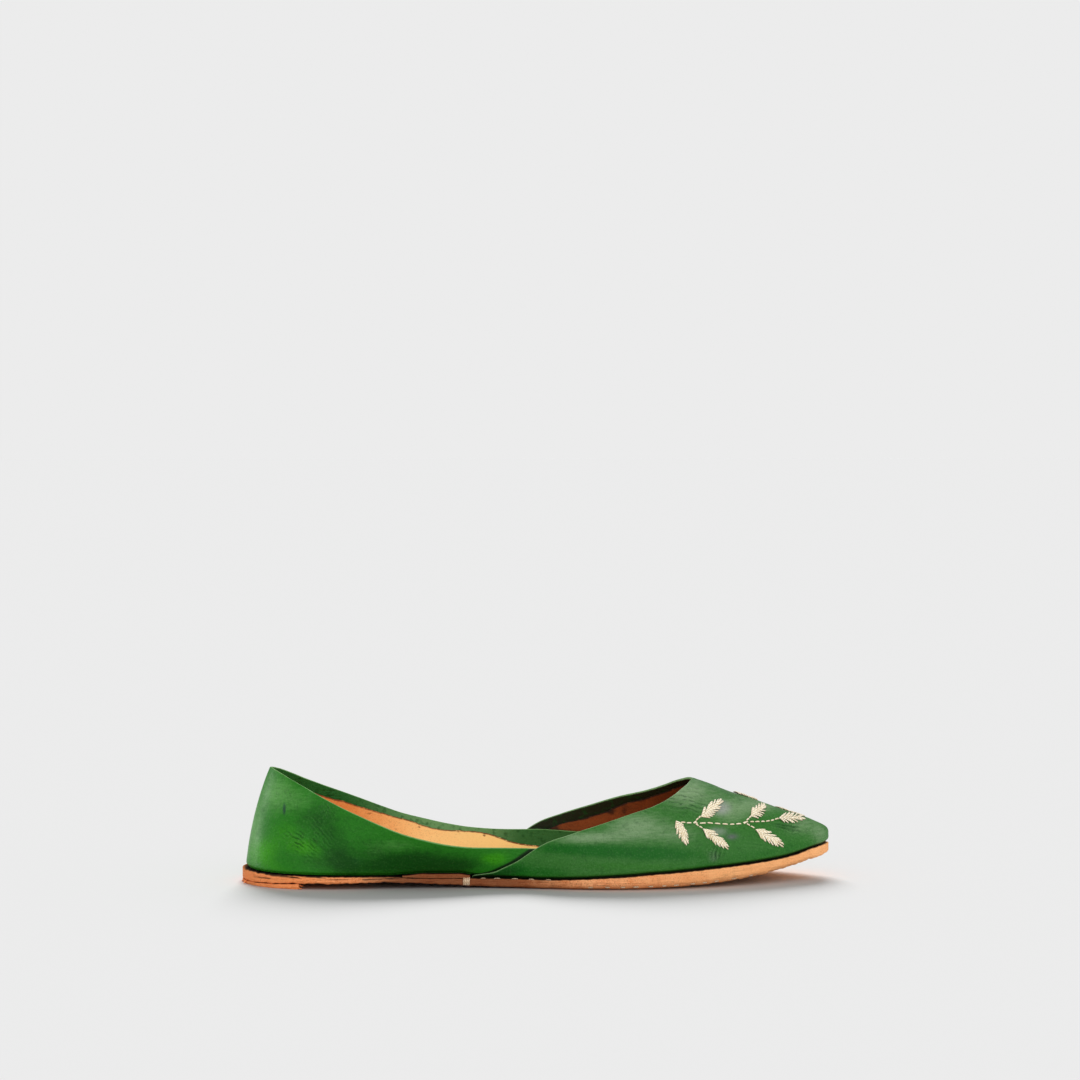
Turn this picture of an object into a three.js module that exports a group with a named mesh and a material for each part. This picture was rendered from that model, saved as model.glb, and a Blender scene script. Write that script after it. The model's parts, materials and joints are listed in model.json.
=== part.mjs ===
// A khussa: a flat leather slip-on on a straight last, standing empty on its sole.
// Millimetres. +X runs to the toe, +Y to the side away from the viewer, +Z up from the floor.
// The origin is on the floor under the middle of the length, on the shoe's plane of symmetry.
// Every piece comes from the same few functions: the edge of the sole, the height of its top,
// and the surface of the last, on whose outside the two uppers lie.
import * as THREE from "three";
import { mergeVertices } from "three/addons/utils/BufferGeometryUtils.js";

// Driving sizes
const LENGTH = 250;
const BALL_WIDTH = 74;
const HEEL_HEIGHT = 48.3;
const INSTEP_HEIGHT = 42.6;
const TOE_SPRING = 9.8;
const ARCH_RISE = 2.7;
const SOLE_THICKNESS = 5.2;
const SOLE_ROUNDING = 5;
const ROUNDING_SLOPE = 0.7;
const EDGE_SHARE = 0.75;
const LIFT_THICKNESS = 2.1;
const LAYER_THICKNESS = 1.55;
const INSOLE_THICKNESS = 1.4;
const QUARTER_WALL = 1.6;
const VAMP_WALL = 1.8;
const GAP = 0.3;
const INSOLE_MARGIN = 1;
const SOLE_MARGIN = 3.2;
const FOOT_HEIGHT = 5;

// Places along the shoe, as shares of its length from the heel
const HEEL_CENTRE = 0.12;
const LIFT_FRONT = 0.098;
const LAYER_BACK = 0.27;
const LAYER_FRONT = 0.382;
const WING_FRONT = 0.585;
const LAYER_FADE = 0.018;

// How finely the surfaces are divided
const STATIONS = 96;
const WALL_ROWS = 6;
const VAMP_ROWS = 14;
const VAMP_CROWDING = 1.6;
const VAMP_COLUMNS = 32;
const ROUNDING_STEPS = 3;
const NEAREST_STATION = 0.2;

// The sole's edge: share of the length, share of the ball width
const OUTLINE = [
  { at: 0.000, width: 0.000 },
  { at: 0.028, width: 0.449 },
  { at: 0.076, width: 0.665 },
  { at: 0.148, width: 0.757 },
  { at: 0.260, width: 0.741 },
  { at: 0.372, width: 0.730 },
  { at: 0.468, width: 0.811 },
  { at: 0.556, width: 0.941 },
  { at: 0.644, width: 1.000 },
  { at: 0.724, width: 0.951 },
  { at: 0.804, width: 0.822 },
  { at: 0.876, width: 0.638 },
  { at: 0.932, width: 0.443 },
  { at: 0.976, width: 0.238 },
  { at: 1.000, width: 0.000 },
];

// The sole's underside and thickness. The shares of the lift, arch and toe spring add up to its
// height over the floor. Thick is a share of the sole's thickness, round one of its rounding.
const SOLE = [
  { at: 0.000, lift: 0.57, arch: 0.00, spring: 0.00, thick: 0.92, round: 0.16 },
  { at: 0.052, lift: 0.76, arch: 0.00, spring: 0.00, thick: 0.71, round: 0.16 },
  { at: 0.100, lift: 1.00, arch: 0.00, spring: 0.00, thick: 0.58, round: 0.16 },
  { at: 0.164, lift: 0.50, arch: 0.42, spring: 0.00, thick: 0.54, round: 0.16 },
  { at: 0.236, lift: 0.00, arch: 1.00, spring: 0.00, thick: 0.44, round: 0.16 },
  { at: 0.308, lift: 0.00, arch: 0.74, spring: 0.00, thick: 0.42, round: 0.16 },
  { at: 0.380, lift: 0.00, arch: 0.37, spring: 0.00, thick: 0.59, round: 0.20 },
  { at: 0.452, lift: 0.00, arch: 0.13, spring: 0.00, thick: 0.70, round: 0.40 },
  { at: 0.520, lift: 0.00, arch: 0.00, spring: 0.00, thick: 0.75, round: 0.72 },
  { at: 0.630, lift: 0.00, arch: 0.00, spring: 0.00, thick: 1.02, round: 1.00 },
  { at: 0.700, lift: 0.00, arch: 0.00, spring: 0.02, thick: 1.21, round: 1.04 },
  { at: 0.780, lift: 0.00, arch: 0.00, spring: 0.11, thick: 1.27, round: 1.00 },
  { at: 0.860, lift: 0.00, arch: 0.00, spring: 0.32, thick: 1.13, round: 0.88 },
  { at: 0.932, lift: 0.00, arch: 0.00, spring: 0.66, thick: 0.88, round: 0.72 },
  { at: 0.972, lift: 0.00, arch: 0.00, spring: 0.87, thick: 0.92, round: 0.60 },
  { at: 1.000, lift: 0.00, arch: 0.00, spring: 1.00, thick: 0.92, round: 0.44 },
];

// The layer under the waist: share of its thickness
const LAYER = [
  { at: LAYER_BACK, thick: 0.30 },
  { at: 0.308, thick: 1.00 },
  { at: 0.364, thick: 1.00 },
  { at: LAYER_FRONT, thick: 0.60 },
];

// The last's sections. Rise is the height of the middle line over the sole, as a share of that at
// the throat. Power is the exponent of the section's superellipse, lean how far its wall leans
// outward for each millimetre up, and margin the sole's ledge outside it, a share of its widest.
const LAST = [
  { at: 0.000, rise: 1.930, power: 2.00, lean: -0.095, margin: 0.44 },
  { at: 0.028, rise: 1.930, power: 2.00, lean: -0.195, margin: 0.44 },
  { at: 0.068, rise: 1.930, power: 2.00, lean: -0.213, margin: 0.44 },
  { at: 0.116, rise: 1.930, power: 2.00, lean: -0.155, margin: 0.44 },
  { at: 0.164, rise: 1.930, power: 2.00, lean: 0.075, margin: 0.47 },
  { at: 0.220, rise: 1.930, power: 2.00, lean: 0.300, margin: 0.47 },
  { at: 0.276, rise: 1.930, power: 2.00, lean: 0.530, margin: 0.50 },
  { at: 0.324, rise: 1.950, power: 2.00, lean: 0.670, margin: 0.56 },
  { at: 0.372, rise: 1.980, power: 2.00, lean: 0.610, margin: 0.66 },
  { at: 0.428, rise: 1.955, power: 2.00, lean: 0.290, margin: 0.81 },
  { at: 0.484, rise: 1.890, power: 2.00, lean: 0.140, margin: 0.94 },
  { at: 0.532, rise: 1.750, power: 2.00, lean: 0.100, margin: 1.00 },
  { at: 0.580, rise: 1.590, power: 2.00, lean: 0.000, margin: 1.00 },
  { at: 0.644, rise: 1.385, power: 1.90, lean: 0.000, margin: 1.00 },
  { at: 0.708, rise: 1.160, power: 1.80, lean: 0.000, margin: 1.00 },
  { at: 0.764, rise: 1.000, power: 1.80, lean: 0.000, margin: 1.00 },
  { at: 0.820, rise: 0.825, power: 1.80, lean: 0.000, margin: 0.97 },
  { at: 0.880, rise: 0.630, power: 1.90, lean: 0.000, margin: 0.91 },
  { at: 0.932, rise: 0.440, power: 2.00, lean: 0.000, margin: 0.81 },
  { at: 0.976, rise: 0.250, power: 2.10, lean: 0.000, margin: 0.69 },
  { at: 1.000, rise: 0.115, power: 2.20, lean: 0.000, margin: 0.66 },
];

// The quarter's top line: share of the length, share of the heel height
const RIM = [
  { at: 0.044, height: 1.000 },
  { at: 0.060, height: 0.973 },
  { at: 0.084, height: 0.913 },
  { at: 0.132, height: 0.789 },
  { at: 0.164, height: 0.714 },
  { at: 0.200, height: 0.634 },
  { at: 0.236, height: 0.555 },
  { at: 0.272, height: 0.484 },
  { at: 0.308, height: 0.433 },
  { at: 0.348, height: 0.387 },
  { at: 0.388, height: 0.360 },
  { at: 0.436, height: 0.350 },
  { at: 0.500, height: 0.344 },
  { at: 0.596, height: 0.311 },
];

// The vamp's rear edge and throat: degrees round the section from the sole to the middle line,
// share of the length
const THROAT = [
  { around: 0.0, at: 0.386 },
  { around: 1.0, at: 0.388 },
  { around: 2.3, at: 0.420 },
  { around: 4.2, at: 0.438 },
  { around: 6.7, at: 0.460 },
  { around: 9.5, at: 0.477 },
  { around: 13.0, at: 0.497 },
  { around: 15.7, at: 0.516 },
  { around: 19.0, at: 0.548 },
  { around: 24.7, at: 0.596 },
  { around: 32.7, at: 0.644 },
  { around: 42.6, at: 0.692 },
  { around: 53.6, at: 0.724 },
  { around: 62.0, at: 0.740 },
  { around: 73.0, at: 0.755 },
  { around: 90.0, at: 0.765 },
];

const RIGHT_ANGLE = Math.PI / 2;

// The turn runs evenly round the outline from 0 at the heel to 1 at the toe.
const turnAt = (at) => Math.acos(1 - 2 * Math.min(1, Math.max(0, at))) / Math.PI;
const shareAt = (turn) => (1 - Math.cos(Math.PI * turn)) / 2;

// The row before a place, in a column of rising places
function rowBefore(places, place) {
  let row = 0;
  while (row < places.length - 2 && place > places[row + 1]) row += 1;
  return row;
}

// Slopes of the smoothest curve through the points: a natural cubic spline's
function smoothSlopes(places, values) {
  const last = places.length - 1;
  const lower = new Array(last + 1).fill(0);
  const right = new Array(last + 1).fill(0);
  const steps = places.slice(1).map((place, i) => place - places[i]);
  const rises = values.slice(1).map((value, i) => (value - values[i]) / steps[i]);
  const diagonal = new Array(last + 1).fill(2);
  lower[0] = 1;
  right[0] = 3 * rises[0];
  for (let i = 1; i < last; i += 1) {
    const before = 1 / steps[i - 1];
    const after = 1 / steps[i];
    const middle = 2 * (before + after);
    const target = 3 * (rises[i - 1] * before + rises[i] * after);
    const factor = before / diagonal[i - 1];
    diagonal[i] = middle - factor * lower[i - 1];
    lower[i] = after;
    right[i] = target - factor * right[i - 1];
  }
  const factor = 1 / diagonal[last - 1];
  diagonal[last] = 2 - factor * lower[last - 1];
  right[last] = 3 * rises[last - 1] - factor * right[last - 1];
  const slopes = new Array(last + 1);
  slopes[last] = right[last] / diagonal[last];
  for (let i = last - 1; i >= 0; i -= 1) {
    slopes[i] = (right[i] - lower[i] * slopes[i + 1]) / diagonal[i];
  }
  return slopes;
}

// Slopes that never overshoot, so that equal rows stay level between them
function levelSlopes(places, values) {
  return places.map((place, i) => {
    if (i === 0 || i === places.length - 1) return 0;
    const before = (values[i] - values[i - 1]) / (place - places[i - 1]);
    const after = (values[i + 1] - values[i]) / (places[i + 1] - place);
    return before * after <= 0 ? 0 : (2 * before * after) / (before + after);
  });
}

// A curve through one column of a table. It is a cubic between rows, and holds its end values.
function column(rows, key, place, name, slopesOf) {
  const places = rows.map((row) => place(row[key]));
  const values = rows.map((row) => row[name]);
  const slopes = slopesOf(places, values);
  return (where) => {
    const x = Math.min(places.at(-1), Math.max(places[0], where));
    const i = rowBefore(places, x);
    const step = places[i + 1] - places[i];
    const t = (x - places[i]) / step;
    const start = (1 + 2 * t) * (1 - t) * (1 - t) * values[i] + t * (1 - t) * (1 - t) * step * slopes[i];
    const end = t * t * (3 - 2 * t) * values[i + 1] + t * t * (t - 1) * step * slopes[i + 1];
    return start + end;
  };
}

const byTurn = (rows, name) => column(rows, "at", turnAt, name, smoothSlopes);
const levelByTurn = (rows, name) => column(rows, "at", turnAt, name, levelSlopes);
const levelByShare = (rows, name) => column(rows, "at", (at) => at, name, levelSlopes);

const widthShare = byTurn(OUTLINE, "width");
const liftShare = levelByTurn(SOLE, "lift");
const archShare = levelByTurn(SOLE, "arch");
const springShare = levelByTurn(SOLE, "spring");
const thickShare = levelByTurn(SOLE, "thick");
const roundShare = levelByTurn(SOLE, "round");
const layerShare = levelByShare(LAYER, "thick");
const riseShare = byTurn(LAST, "rise");
const sectionPower = byTurn(LAST, "power");
const wallLean = byTurn(LAST, "lean");
const marginShare = byTurn(LAST, "margin");
const rimShare = levelByShare(RIM, "height");
const throatShare = column(THROAT, "around", (degrees) => degrees, "at", levelSlopes);

const xAt = (turn) => LENGTH * (shareAt(turn) - 0.5);
const shareOfX = (x) => x / LENGTH + 0.5;
const halfWidth = (turn) => (BALL_WIDTH / 2) * widthShare(turn);

// Heights over the floor at a place x along the shoe
function underside(x) {
  const turn = turnAt(shareOfX(x));
  const lift = liftShare(turn) * (LIFT_THICKNESS + GAP);
  return lift + archShare(turn) * ARCH_RISE + springShare(turn) * TOE_SPRING;
}
const soleTop = (x) => underside(x) + thickShare(turnAt(shareOfX(x))) * SOLE_THICKNESS;

// Height of the waist's layer over the sole, gap and all, fading out past its two ends
function layerRise(x) {
  const at = shareOfX(x);
  const outside = Math.max(LAYER_BACK - at, at - LAYER_FRONT, 0) / LAYER_FADE;
  return Math.max(0, 1 - outside) * (GAP + layerShare(at) * LAYER_THICKNESS);
}
const seat = (x) => soleTop(x) + layerRise(x) + GAP;

// Point of the sole's edge on the +Y side, moved inward along its own normal
function edgePoint(turn, inward) {
  const step = 1e-4;
  const before = Math.max(0, turn - step);
  const after = Math.min(1, turn + step);
  const atEnd = turn <= step || turn >= 1 - step;
  const tangent = new THREE.Vector2(
    atEnd ? 0 : xAt(after) - xAt(before),
    halfWidth(after) - halfWidth(before),
  ).normalize();
  const point = new THREE.Vector2(xAt(turn), halfWidth(turn));
  return point.add(new THREE.Vector2(tangent.y, -tangent.x).multiplyScalar(inward));
}

// Point of the last on the +Y side. The angle runs from 0 at the sole to a right angle at the
// middle line: the section is |r / (d + lean h)|^power + |h / rise|^power = 1, where h is the
// height over the seat and r the distance from the axis, along a fan round the heel's centre.
const throatTurn = turnAt(THROAT.at(-1).at);
const throatRise = INSTEP_HEIGHT - soleTop(xAt(throatTurn)) - 2 * GAP - VAMP_WALL;
function lastPoint(turn, angle) {
  const foot = edgePoint(turn, marginShare(turn) * SOLE_MARGIN);
  const axis = new THREE.Vector2(Math.max(foot.x, LENGTH * (HEEL_CENTRE - 0.5)), 0);
  const spoke = foot.clone().sub(axis);
  const distance = spoke.length();
  const power = 2 / sectionPower(turn);
  const height = throatRise * riseShare(turn) * Math.sin(angle) ** power;
  const reach = Math.max(0, Math.cos(angle)) ** power * (distance + wallLean(turn) * height);
  const plan = axis.add(spoke.multiplyScalar(distance > 0 ? reach / distance : 0));
  return new THREE.Vector3(plan.x, plan.y, soleTop(plan.x) + GAP + height);
}

// Point beside the last: moved outward along its normal, mirrored for the near side (side -1).
// At the foot the normal is level, so that a wall stands square on the sole.
function beside(turn, angle, outward, side) {
  const step = 1e-3;
  const t = Math.min(1 - step, Math.max(step, turn));
  const a = Math.min(RIGHT_ANGLE - step, Math.max(step, angle));
  const alongTurn = lastPoint(t + step / 2, a).sub(lastPoint(t - step / 2, a));
  const alongAngle = lastPoint(t, a + step / 2).sub(lastPoint(t, a - step / 2));
  const normal = alongAngle.cross(alongTurn).normalize();
  if (turn <= step || turn >= 1 - step || angle >= RIGHT_ANGLE - step) normal.y = 0;
  const whole = throatRise * riseShare(turn);
  const height = whole * Math.sin(angle) ** (2 / sectionPower(turn));
  normal.z *= Math.min(1, height / Math.min(FOOT_HEIGHT, whole / 2));
  const on = lastPoint(turn, angle);
  const point = on.clone().addScaledVector(normal.normalize(), outward);
  return new THREE.Vector3(point.x, point.y * side, point.z + soleTop(point.x) - soleTop(on.x));
}

// The argument between low and high where a rising function passes zero
function crossing(low, high, value) {
  for (let i = 0; i < 40; i += 1) {
    const middle = (low + high) / 2;
    if (value(middle) > 0) high = middle;
    else low = middle;
  }
  return (low + high) / 2;
}

// A body from grids of points. Each face is a grid given by its rows; every face is wound so that
// it points out, and where two faces meet they share the same points.
function body(name, faces, look) {
  const positions = [];
  const place = (a, b, c) => {
    const flat = a.distanceTo(b) < 1e-6 || b.distanceTo(c) < 1e-6 || c.distanceTo(a) < 1e-6;
    if (!flat) positions.push(...a.toArray(), ...b.toArray(), ...c.toArray());
  };
  for (const rows of faces) {
    for (let i = 0; i + 1 < rows.length; i += 1) {
      for (let j = 0; j + 1 < rows[i].length; j += 1) {
        const [a, b, c, d] = [rows[i][j], rows[i + 1][j], rows[i + 1][j + 1], rows[i][j + 1]];
        const halves = a.distanceTo(c) <= b.distanceTo(d) ? [a, b, c, a, c, d] : [b, c, d, b, d, a];
        place(...halves.slice(0, 3));
        place(...halves.slice(3));
      }
    }
  }
  const loose = new THREE.BufferGeometry();
  loose.setAttribute("position", new THREE.Float32BufferAttribute(positions, 3));
  const geometry = mergeVertices(loose, 1e-3);
  geometry.computeVertexNormals();
  const mesh = new THREE.Mesh(geometry, new THREE.MeshStandardMaterial(look));
  mesh.name = name;
  return mesh;
}

const turned = (rows) => rows.map((row) => row.slice().reverse());
const across = (rows) => rows[0].map((_, j) => rows.map((row) => row[j]));

// A plate between two turns: its profile gives the points of the far side's edge at one station,
// from the top's down to the bottom's, as distance inward and height
function plate(name, turns, profile, look) {
  const edge = turns.map((turn) => profile(turn).map(([inward, height]) => {
    const point = edgePoint(turn, inward);
    return new THREE.Vector3(point.x, point.y, height(point.x));
  }));
  const mirrored = edge.map((points) => points.map((p) => new THREE.Vector3(p.x, -p.y, p.z)));
  const top = edge.map((points, i) => [mirrored[i][0], points[0]]);
  const bottom = edge.map((points, i) => [points.at(-1), mirrored[i].at(-1)]);
  const caps = [edge[0], edge.at(-1)].map((points, i) => {
    const other = [mirrored[0], mirrored.at(-1)][i];
    return points.map((point, j) => (i === 0 ? [point, other[j]] : [other[j], point]));
  });
  return body(name, [top, edge, turned(mirrored), bottom, ...caps], look);
}

// A wall between two grids of points, outside and inside, with its four borders
function wall(name, outside, inside, look, openEnd) {
  const border = (outer, inner) => outer.map((point, i) => [point, inner[i]]);
  const foot = border(across(inside)[0], across(outside)[0]);
  const head = border(across(outside).at(-1), across(inside).at(-1));
  const start = border(outside[0], inside[0]);
  const end = border(inside.at(-1), outside.at(-1));
  const faces = [outside, turned(inside), foot, head, start];
  return body(name, openEnd ? [...faces, end] : faces, look);
}

// The turns of the stations between two shares of the length, with both ends among them
function stationsBetween(from, to) {
  const first = turnAt(from);
  const final = turnAt(to);
  const inner = Array.from({ length: STATIONS + 1 }, (_, i) => i / STATIONS);
  const near = NEAREST_STATION / STATIONS;
  return [first, ...inner.filter((turn) => turn > first + near && turn < final - near), final];
}

const soleLeather = { color: 0xc98a52, roughness: 0.85, metalness: 0 };
const greenLeather = { color: 0x2f6b35, roughness: 0.45, metalness: 0 };
const greyGreenLeather = { color: 0x3f6f4a, roughness: 0.45, metalness: 0 };

// The sole, with the rounding of its lower edge: as wide as its table says, as tall as its slope
// and no more than a share of the edge
function outsole() {
  const profile = (turn) => {
    const width = roundShare(turn) * SOLE_ROUNDING;
    const tall = (x) => Math.min(ROUNDING_SLOPE * width, EDGE_SHARE * (soleTop(x) - underside(x)));
    const arc = Array.from({ length: ROUNDING_STEPS + 1 }, (_, i) => {
      const angle = (RIGHT_ANGLE * i) / ROUNDING_STEPS;
      return [width * (1 - Math.cos(angle)), (x) => underside(x) + tall(x) * (1 - Math.sin(angle))];
    });
    return [[0, soleTop], ...arc];
  };
  return plate("outsole", stationsBetween(0, 1), profile, soleLeather);
}

// The lift under the heel, flat on the floor
function heelLift() {
  const profile = () => [[0, (x) => underside(x) - GAP], [0, () => 0]];
  return plate("heel_lift", stationsBetween(0, LIFT_FRONT), profile, soleLeather);
}

// The second layer under the waist, on the sole
function waistLayer() {
  const low = (x) => soleTop(x) + GAP;
  const high = (x) => low(x) + layerShare(shareOfX(x)) * LAYER_THICKNESS;
  const turns = stationsBetween(LAYER_BACK, LAYER_FRONT);
  return plate("waist_layer", turns, () => [[0, high], [0, low]], soleLeather);
}

// The insole, inside both uppers
function insole() {
  const profile = (turn) => {
    const inward = marginShare(turn) * SOLE_MARGIN + QUARTER_WALL + INSOLE_MARGIN;
    return [[inward, (x) => seat(x) + INSOLE_THICKNESS], [inward, seat]];
  };
  return plate("insole", stationsBetween(0, 1), profile, soleLeather);
}

// The quarter: the wall round the heel, with two wings that end inside the vamp
function quarter() {
  const angleAt = (turn, heightAt) => crossing(0, RIGHT_ANGLE, (angle) => {
    const point = lastPoint(turn, angle);
    return point.z - heightAt(point.x);
  });
  const stations = stationsBetween(0, WING_FRONT).map((turn) => ({
    turn,
    low: angleAt(turn, seat),
    high: angleAt(turn, (x) => HEEL_HEIGHT * rimShare(shareOfX(x))),
  }));
  const grid = (outward, side) => stations.map(({ turn, low, high }) => (
    Array.from({ length: WALL_ROWS + 1 }, (_, j) => {
      const point = beside(turn, low + ((high - low) * j) / WALL_ROWS, outward, side);
      if (j === 0) point.z = seat(point.x);
      return point;
    })
  ));
  const round = (outward) => [...grid(outward, 1).reverse(), ...grid(outward, -1).slice(1)];
  return wall("quarter", round(0), round(-QUARTER_WALL), greenLeather, true);
}

// The vamp: the closed wall over the toes, from its rear edge and throat to the nose, where its
// near and far sides meet in one upright line
function vamp() {
  const startTurn = (angle) => crossing(turnAt(0.2), turnAt(0.9), (turn) => (
    shareOfX(beside(turn, angle, GAP + VAMP_WALL, 1).x) - throatShare((angle * 180) / Math.PI)
  ));
  const angles = Array.from({ length: VAMP_ROWS + 1 }, (_, i) => (
    RIGHT_ANGLE * (i / VAMP_ROWS) ** VAMP_CROWDING
  ));
  const starts = angles.map(startTurn);
  const row = (i, outward, side) => Array.from({ length: VAMP_COLUMNS + 1 }, (_, j) => {
    const turn = starts[i] + ((1 - starts[i]) * j) / VAMP_COLUMNS;
    const point = beside(turn, angles[i], outward, side);
    if (i === 0) point.z = soleTop(point.x) + GAP;
    return point;
  });
  const side = (outward, sign) => angles.map((_, i) => row(i, outward, sign));
  const arch = (outward) => across([...side(outward, -1), ...side(outward, 1).reverse().slice(1)]);
  return wall("vamp", arch(GAP + VAMP_WALL), arch(GAP), greyGreenLeather, false);
}

const khussa = new THREE.Group();
khussa.add(outsole(), heelLift(), waistLayer(), insole(), quarter(), vamp());

export default khussa;
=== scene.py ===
# %% [markdown]
# # A khussa in green leather
# A khussa is a flat slip-on from South Asia, made on one straight shape for either foot. Its
# upper is two pieces of dyed leather, the quarter round the heel and the vamp over the toes. The
# CAD model holds the true form of each piece, so this lesson dresses it: it works out the same
# surfaces again, finer, gives them cut edges, linings, thread and wear, and paints them.

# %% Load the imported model
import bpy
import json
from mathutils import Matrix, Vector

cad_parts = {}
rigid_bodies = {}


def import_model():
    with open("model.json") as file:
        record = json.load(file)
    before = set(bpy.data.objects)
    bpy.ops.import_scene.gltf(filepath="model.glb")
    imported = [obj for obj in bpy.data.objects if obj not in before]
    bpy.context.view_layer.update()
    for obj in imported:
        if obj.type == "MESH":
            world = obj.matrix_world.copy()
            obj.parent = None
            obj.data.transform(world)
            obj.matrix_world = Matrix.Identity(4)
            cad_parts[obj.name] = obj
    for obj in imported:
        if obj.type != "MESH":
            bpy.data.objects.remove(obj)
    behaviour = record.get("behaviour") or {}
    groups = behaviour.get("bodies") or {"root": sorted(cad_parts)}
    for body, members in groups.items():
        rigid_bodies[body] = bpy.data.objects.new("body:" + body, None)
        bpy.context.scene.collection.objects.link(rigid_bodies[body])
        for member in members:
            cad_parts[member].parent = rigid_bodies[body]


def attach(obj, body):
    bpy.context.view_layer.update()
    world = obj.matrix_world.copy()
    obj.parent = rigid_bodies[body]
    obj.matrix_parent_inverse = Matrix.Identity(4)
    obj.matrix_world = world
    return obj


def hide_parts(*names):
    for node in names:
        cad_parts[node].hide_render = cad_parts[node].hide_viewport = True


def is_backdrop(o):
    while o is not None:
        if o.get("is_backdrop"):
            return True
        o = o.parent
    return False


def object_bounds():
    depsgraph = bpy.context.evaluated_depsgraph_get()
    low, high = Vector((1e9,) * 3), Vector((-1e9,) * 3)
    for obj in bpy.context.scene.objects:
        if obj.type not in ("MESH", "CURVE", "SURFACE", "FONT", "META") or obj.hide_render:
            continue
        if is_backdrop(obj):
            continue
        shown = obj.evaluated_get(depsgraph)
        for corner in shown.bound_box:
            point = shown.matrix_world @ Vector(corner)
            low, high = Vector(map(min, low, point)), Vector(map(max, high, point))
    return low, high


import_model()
cad_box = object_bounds()
print("CAD box in metres:", [tuple(round(v, 4) for v in corner) for corner in cad_box])

# %% [markdown]
# ## Camera and studio
# The photograph looks at the shoe's near side from a little above, from 1.2 m away, with the shoe
# low in the frame. The camera comes first, so that every later step can be compared with it. The
# view transform is plain, so a colour that is worked out as the photograph's also shows as such.

# %% Camera
import json

import bmesh
import bpy
import numpy as np
from mathutils import Vector

MM = 0.001
FOCAL_LENGTH, SENSOR_WIDTH = 93.39, 36.0
CAMERA_PLACE = (-62.2, -1186.7, 189.0)
YAW_DEGREES, PITCH_DEGREES = 3.06, -2.17

camera = bpy.data.cameras.new("camera")
camera.lens = FOCAL_LENGTH
camera.sensor_width = SENSOR_WIDTH
camera.clip_end = 100.0
camera_stand = bpy.data.objects.new("camera", camera)
camera_stand.location = Vector(CAMERA_PLACE) * MM
yaw, pitch = np.radians(YAW_DEGREES), np.radians(PITCH_DEGREES)
gaze = Vector((np.sin(yaw) * np.cos(pitch), np.cos(yaw) * np.cos(pitch), np.sin(pitch)))
camera_stand.rotation_euler = gaze.to_track_quat("-Z", "Y").to_euler()
bpy.context.collection.objects.link(camera_stand)
bpy.context.scene.camera = camera_stand
bpy.context.scene.view_settings.view_transform = "Standard"
print("camera looks along", tuple(round(v, 3) for v in gaze))

# %% [markdown]
# ## Curves through tables
# A shoemaker's last is a shape of few numbers: widths and heights at some places along the shoe,
# with smooth curves between. Each table row here holds shares, of the length or of a named size,
# and a curve through one column gives the value anywhere. Two kinds are used: a natural spline
# where the form sweeps on, and a level one that never overshoots where it must stay flat.

# %% Curves
def cubic(places, values, slopes):
    """Hermite cubic between rows: (1+2t)(1-t)^2 v0 + t(1-t)^2 h s0 + t^2(3-2t) v1 + t^2(t-1) h s1,
    where h is the step between two places and t runs from 0 to 1 over it."""
    def curve(where):
        x = np.clip(where, places[0], places[-1])
        i = np.clip(np.searchsorted(places, x, side="right") - 1, 0, len(places) - 2)
        h = places[i + 1] - places[i]
        t = (x - places[i]) / h
        start = (1 + 2 * t) * (1 - t) ** 2 * values[i] + t * (1 - t) ** 2 * h * slopes[i]
        return start + t**2 * (3 - 2 * t) * values[i + 1] + t**2 * (t - 1) * h * slopes[i + 1]
    return curve


def smooth_curve(places, values):
    """Natural cubic spline: the slopes s solve s[i-1]/h[i-1] + 2(1/h[i-1] + 1/h[i]) s[i] + s[i+1]/h[i]
    = 3(r[i-1]/h[i-1] + r[i]/h[i]), with r the rises per step, and no bending at the two ends."""
    places, values = np.array(places, float), np.array(values, float)
    h, r = np.diff(places), np.diff(values) / np.diff(places)
    size = len(places)
    left, right = np.zeros((size, size)), np.zeros(size)
    left[0, :2], right[0] = (2, 1), 3 * r[0]
    left[-1, -2:], right[-1] = (1, 2), 3 * r[-1]
    inner = np.arange(1, size - 1)
    left[inner, inner - 1] = 1 / h[:-1]
    left[inner, inner] = 2 / h[:-1] + 2 / h[1:]
    left[inner, inner + 1] = 1 / h[1:]
    right[inner] = 3 * (r[:-1] / h[:-1] + r[1:] / h[1:])
    return cubic(places, values, np.linalg.solve(left, right))


def level_curve(places, values):
    """Cubic whose slopes are the harmonic mean 2ab/(a+b) of the steps before and after, and 0 where
    those turn round and at both ends, so it never passes the values of its rows."""
    places, values = np.array(places, float), np.array(values, float)
    r = np.diff(values) / np.diff(places)
    a, b = r[:-1], r[1:]
    same = a * b > 0
    middle = np.where(same, 2 * a * b / np.where(same, a + b, 1), 0)
    return cubic(places, values, np.concatenate([[0], middle, [0]]))


def turn_at(at):
    """Even turn round the outline, 0 at the heel and 1 at the toe: acos(1 - 2 at) / pi."""
    return np.arccos(1 - 2 * np.clip(at, 0, 1)) / np.pi


def by_turn(make, table, column):
    """Curve through one column of a table whose first column is a share of the length."""
    rows = np.array(table, float)
    return make(turn_at(rows[:, 0]), rows[:, column])


# %% [markdown]
# ## The sole and the last, as numbers
# The tables are those of the CAD model. OUTLINE is the edge of the sole, SOLE its underside and
# thickness, LAYER the piece under the waist, LAST the sections of the last that the upper was
# pulled over, RIM the quarter's top line and THROAT the vamp's rear edge.

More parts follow.
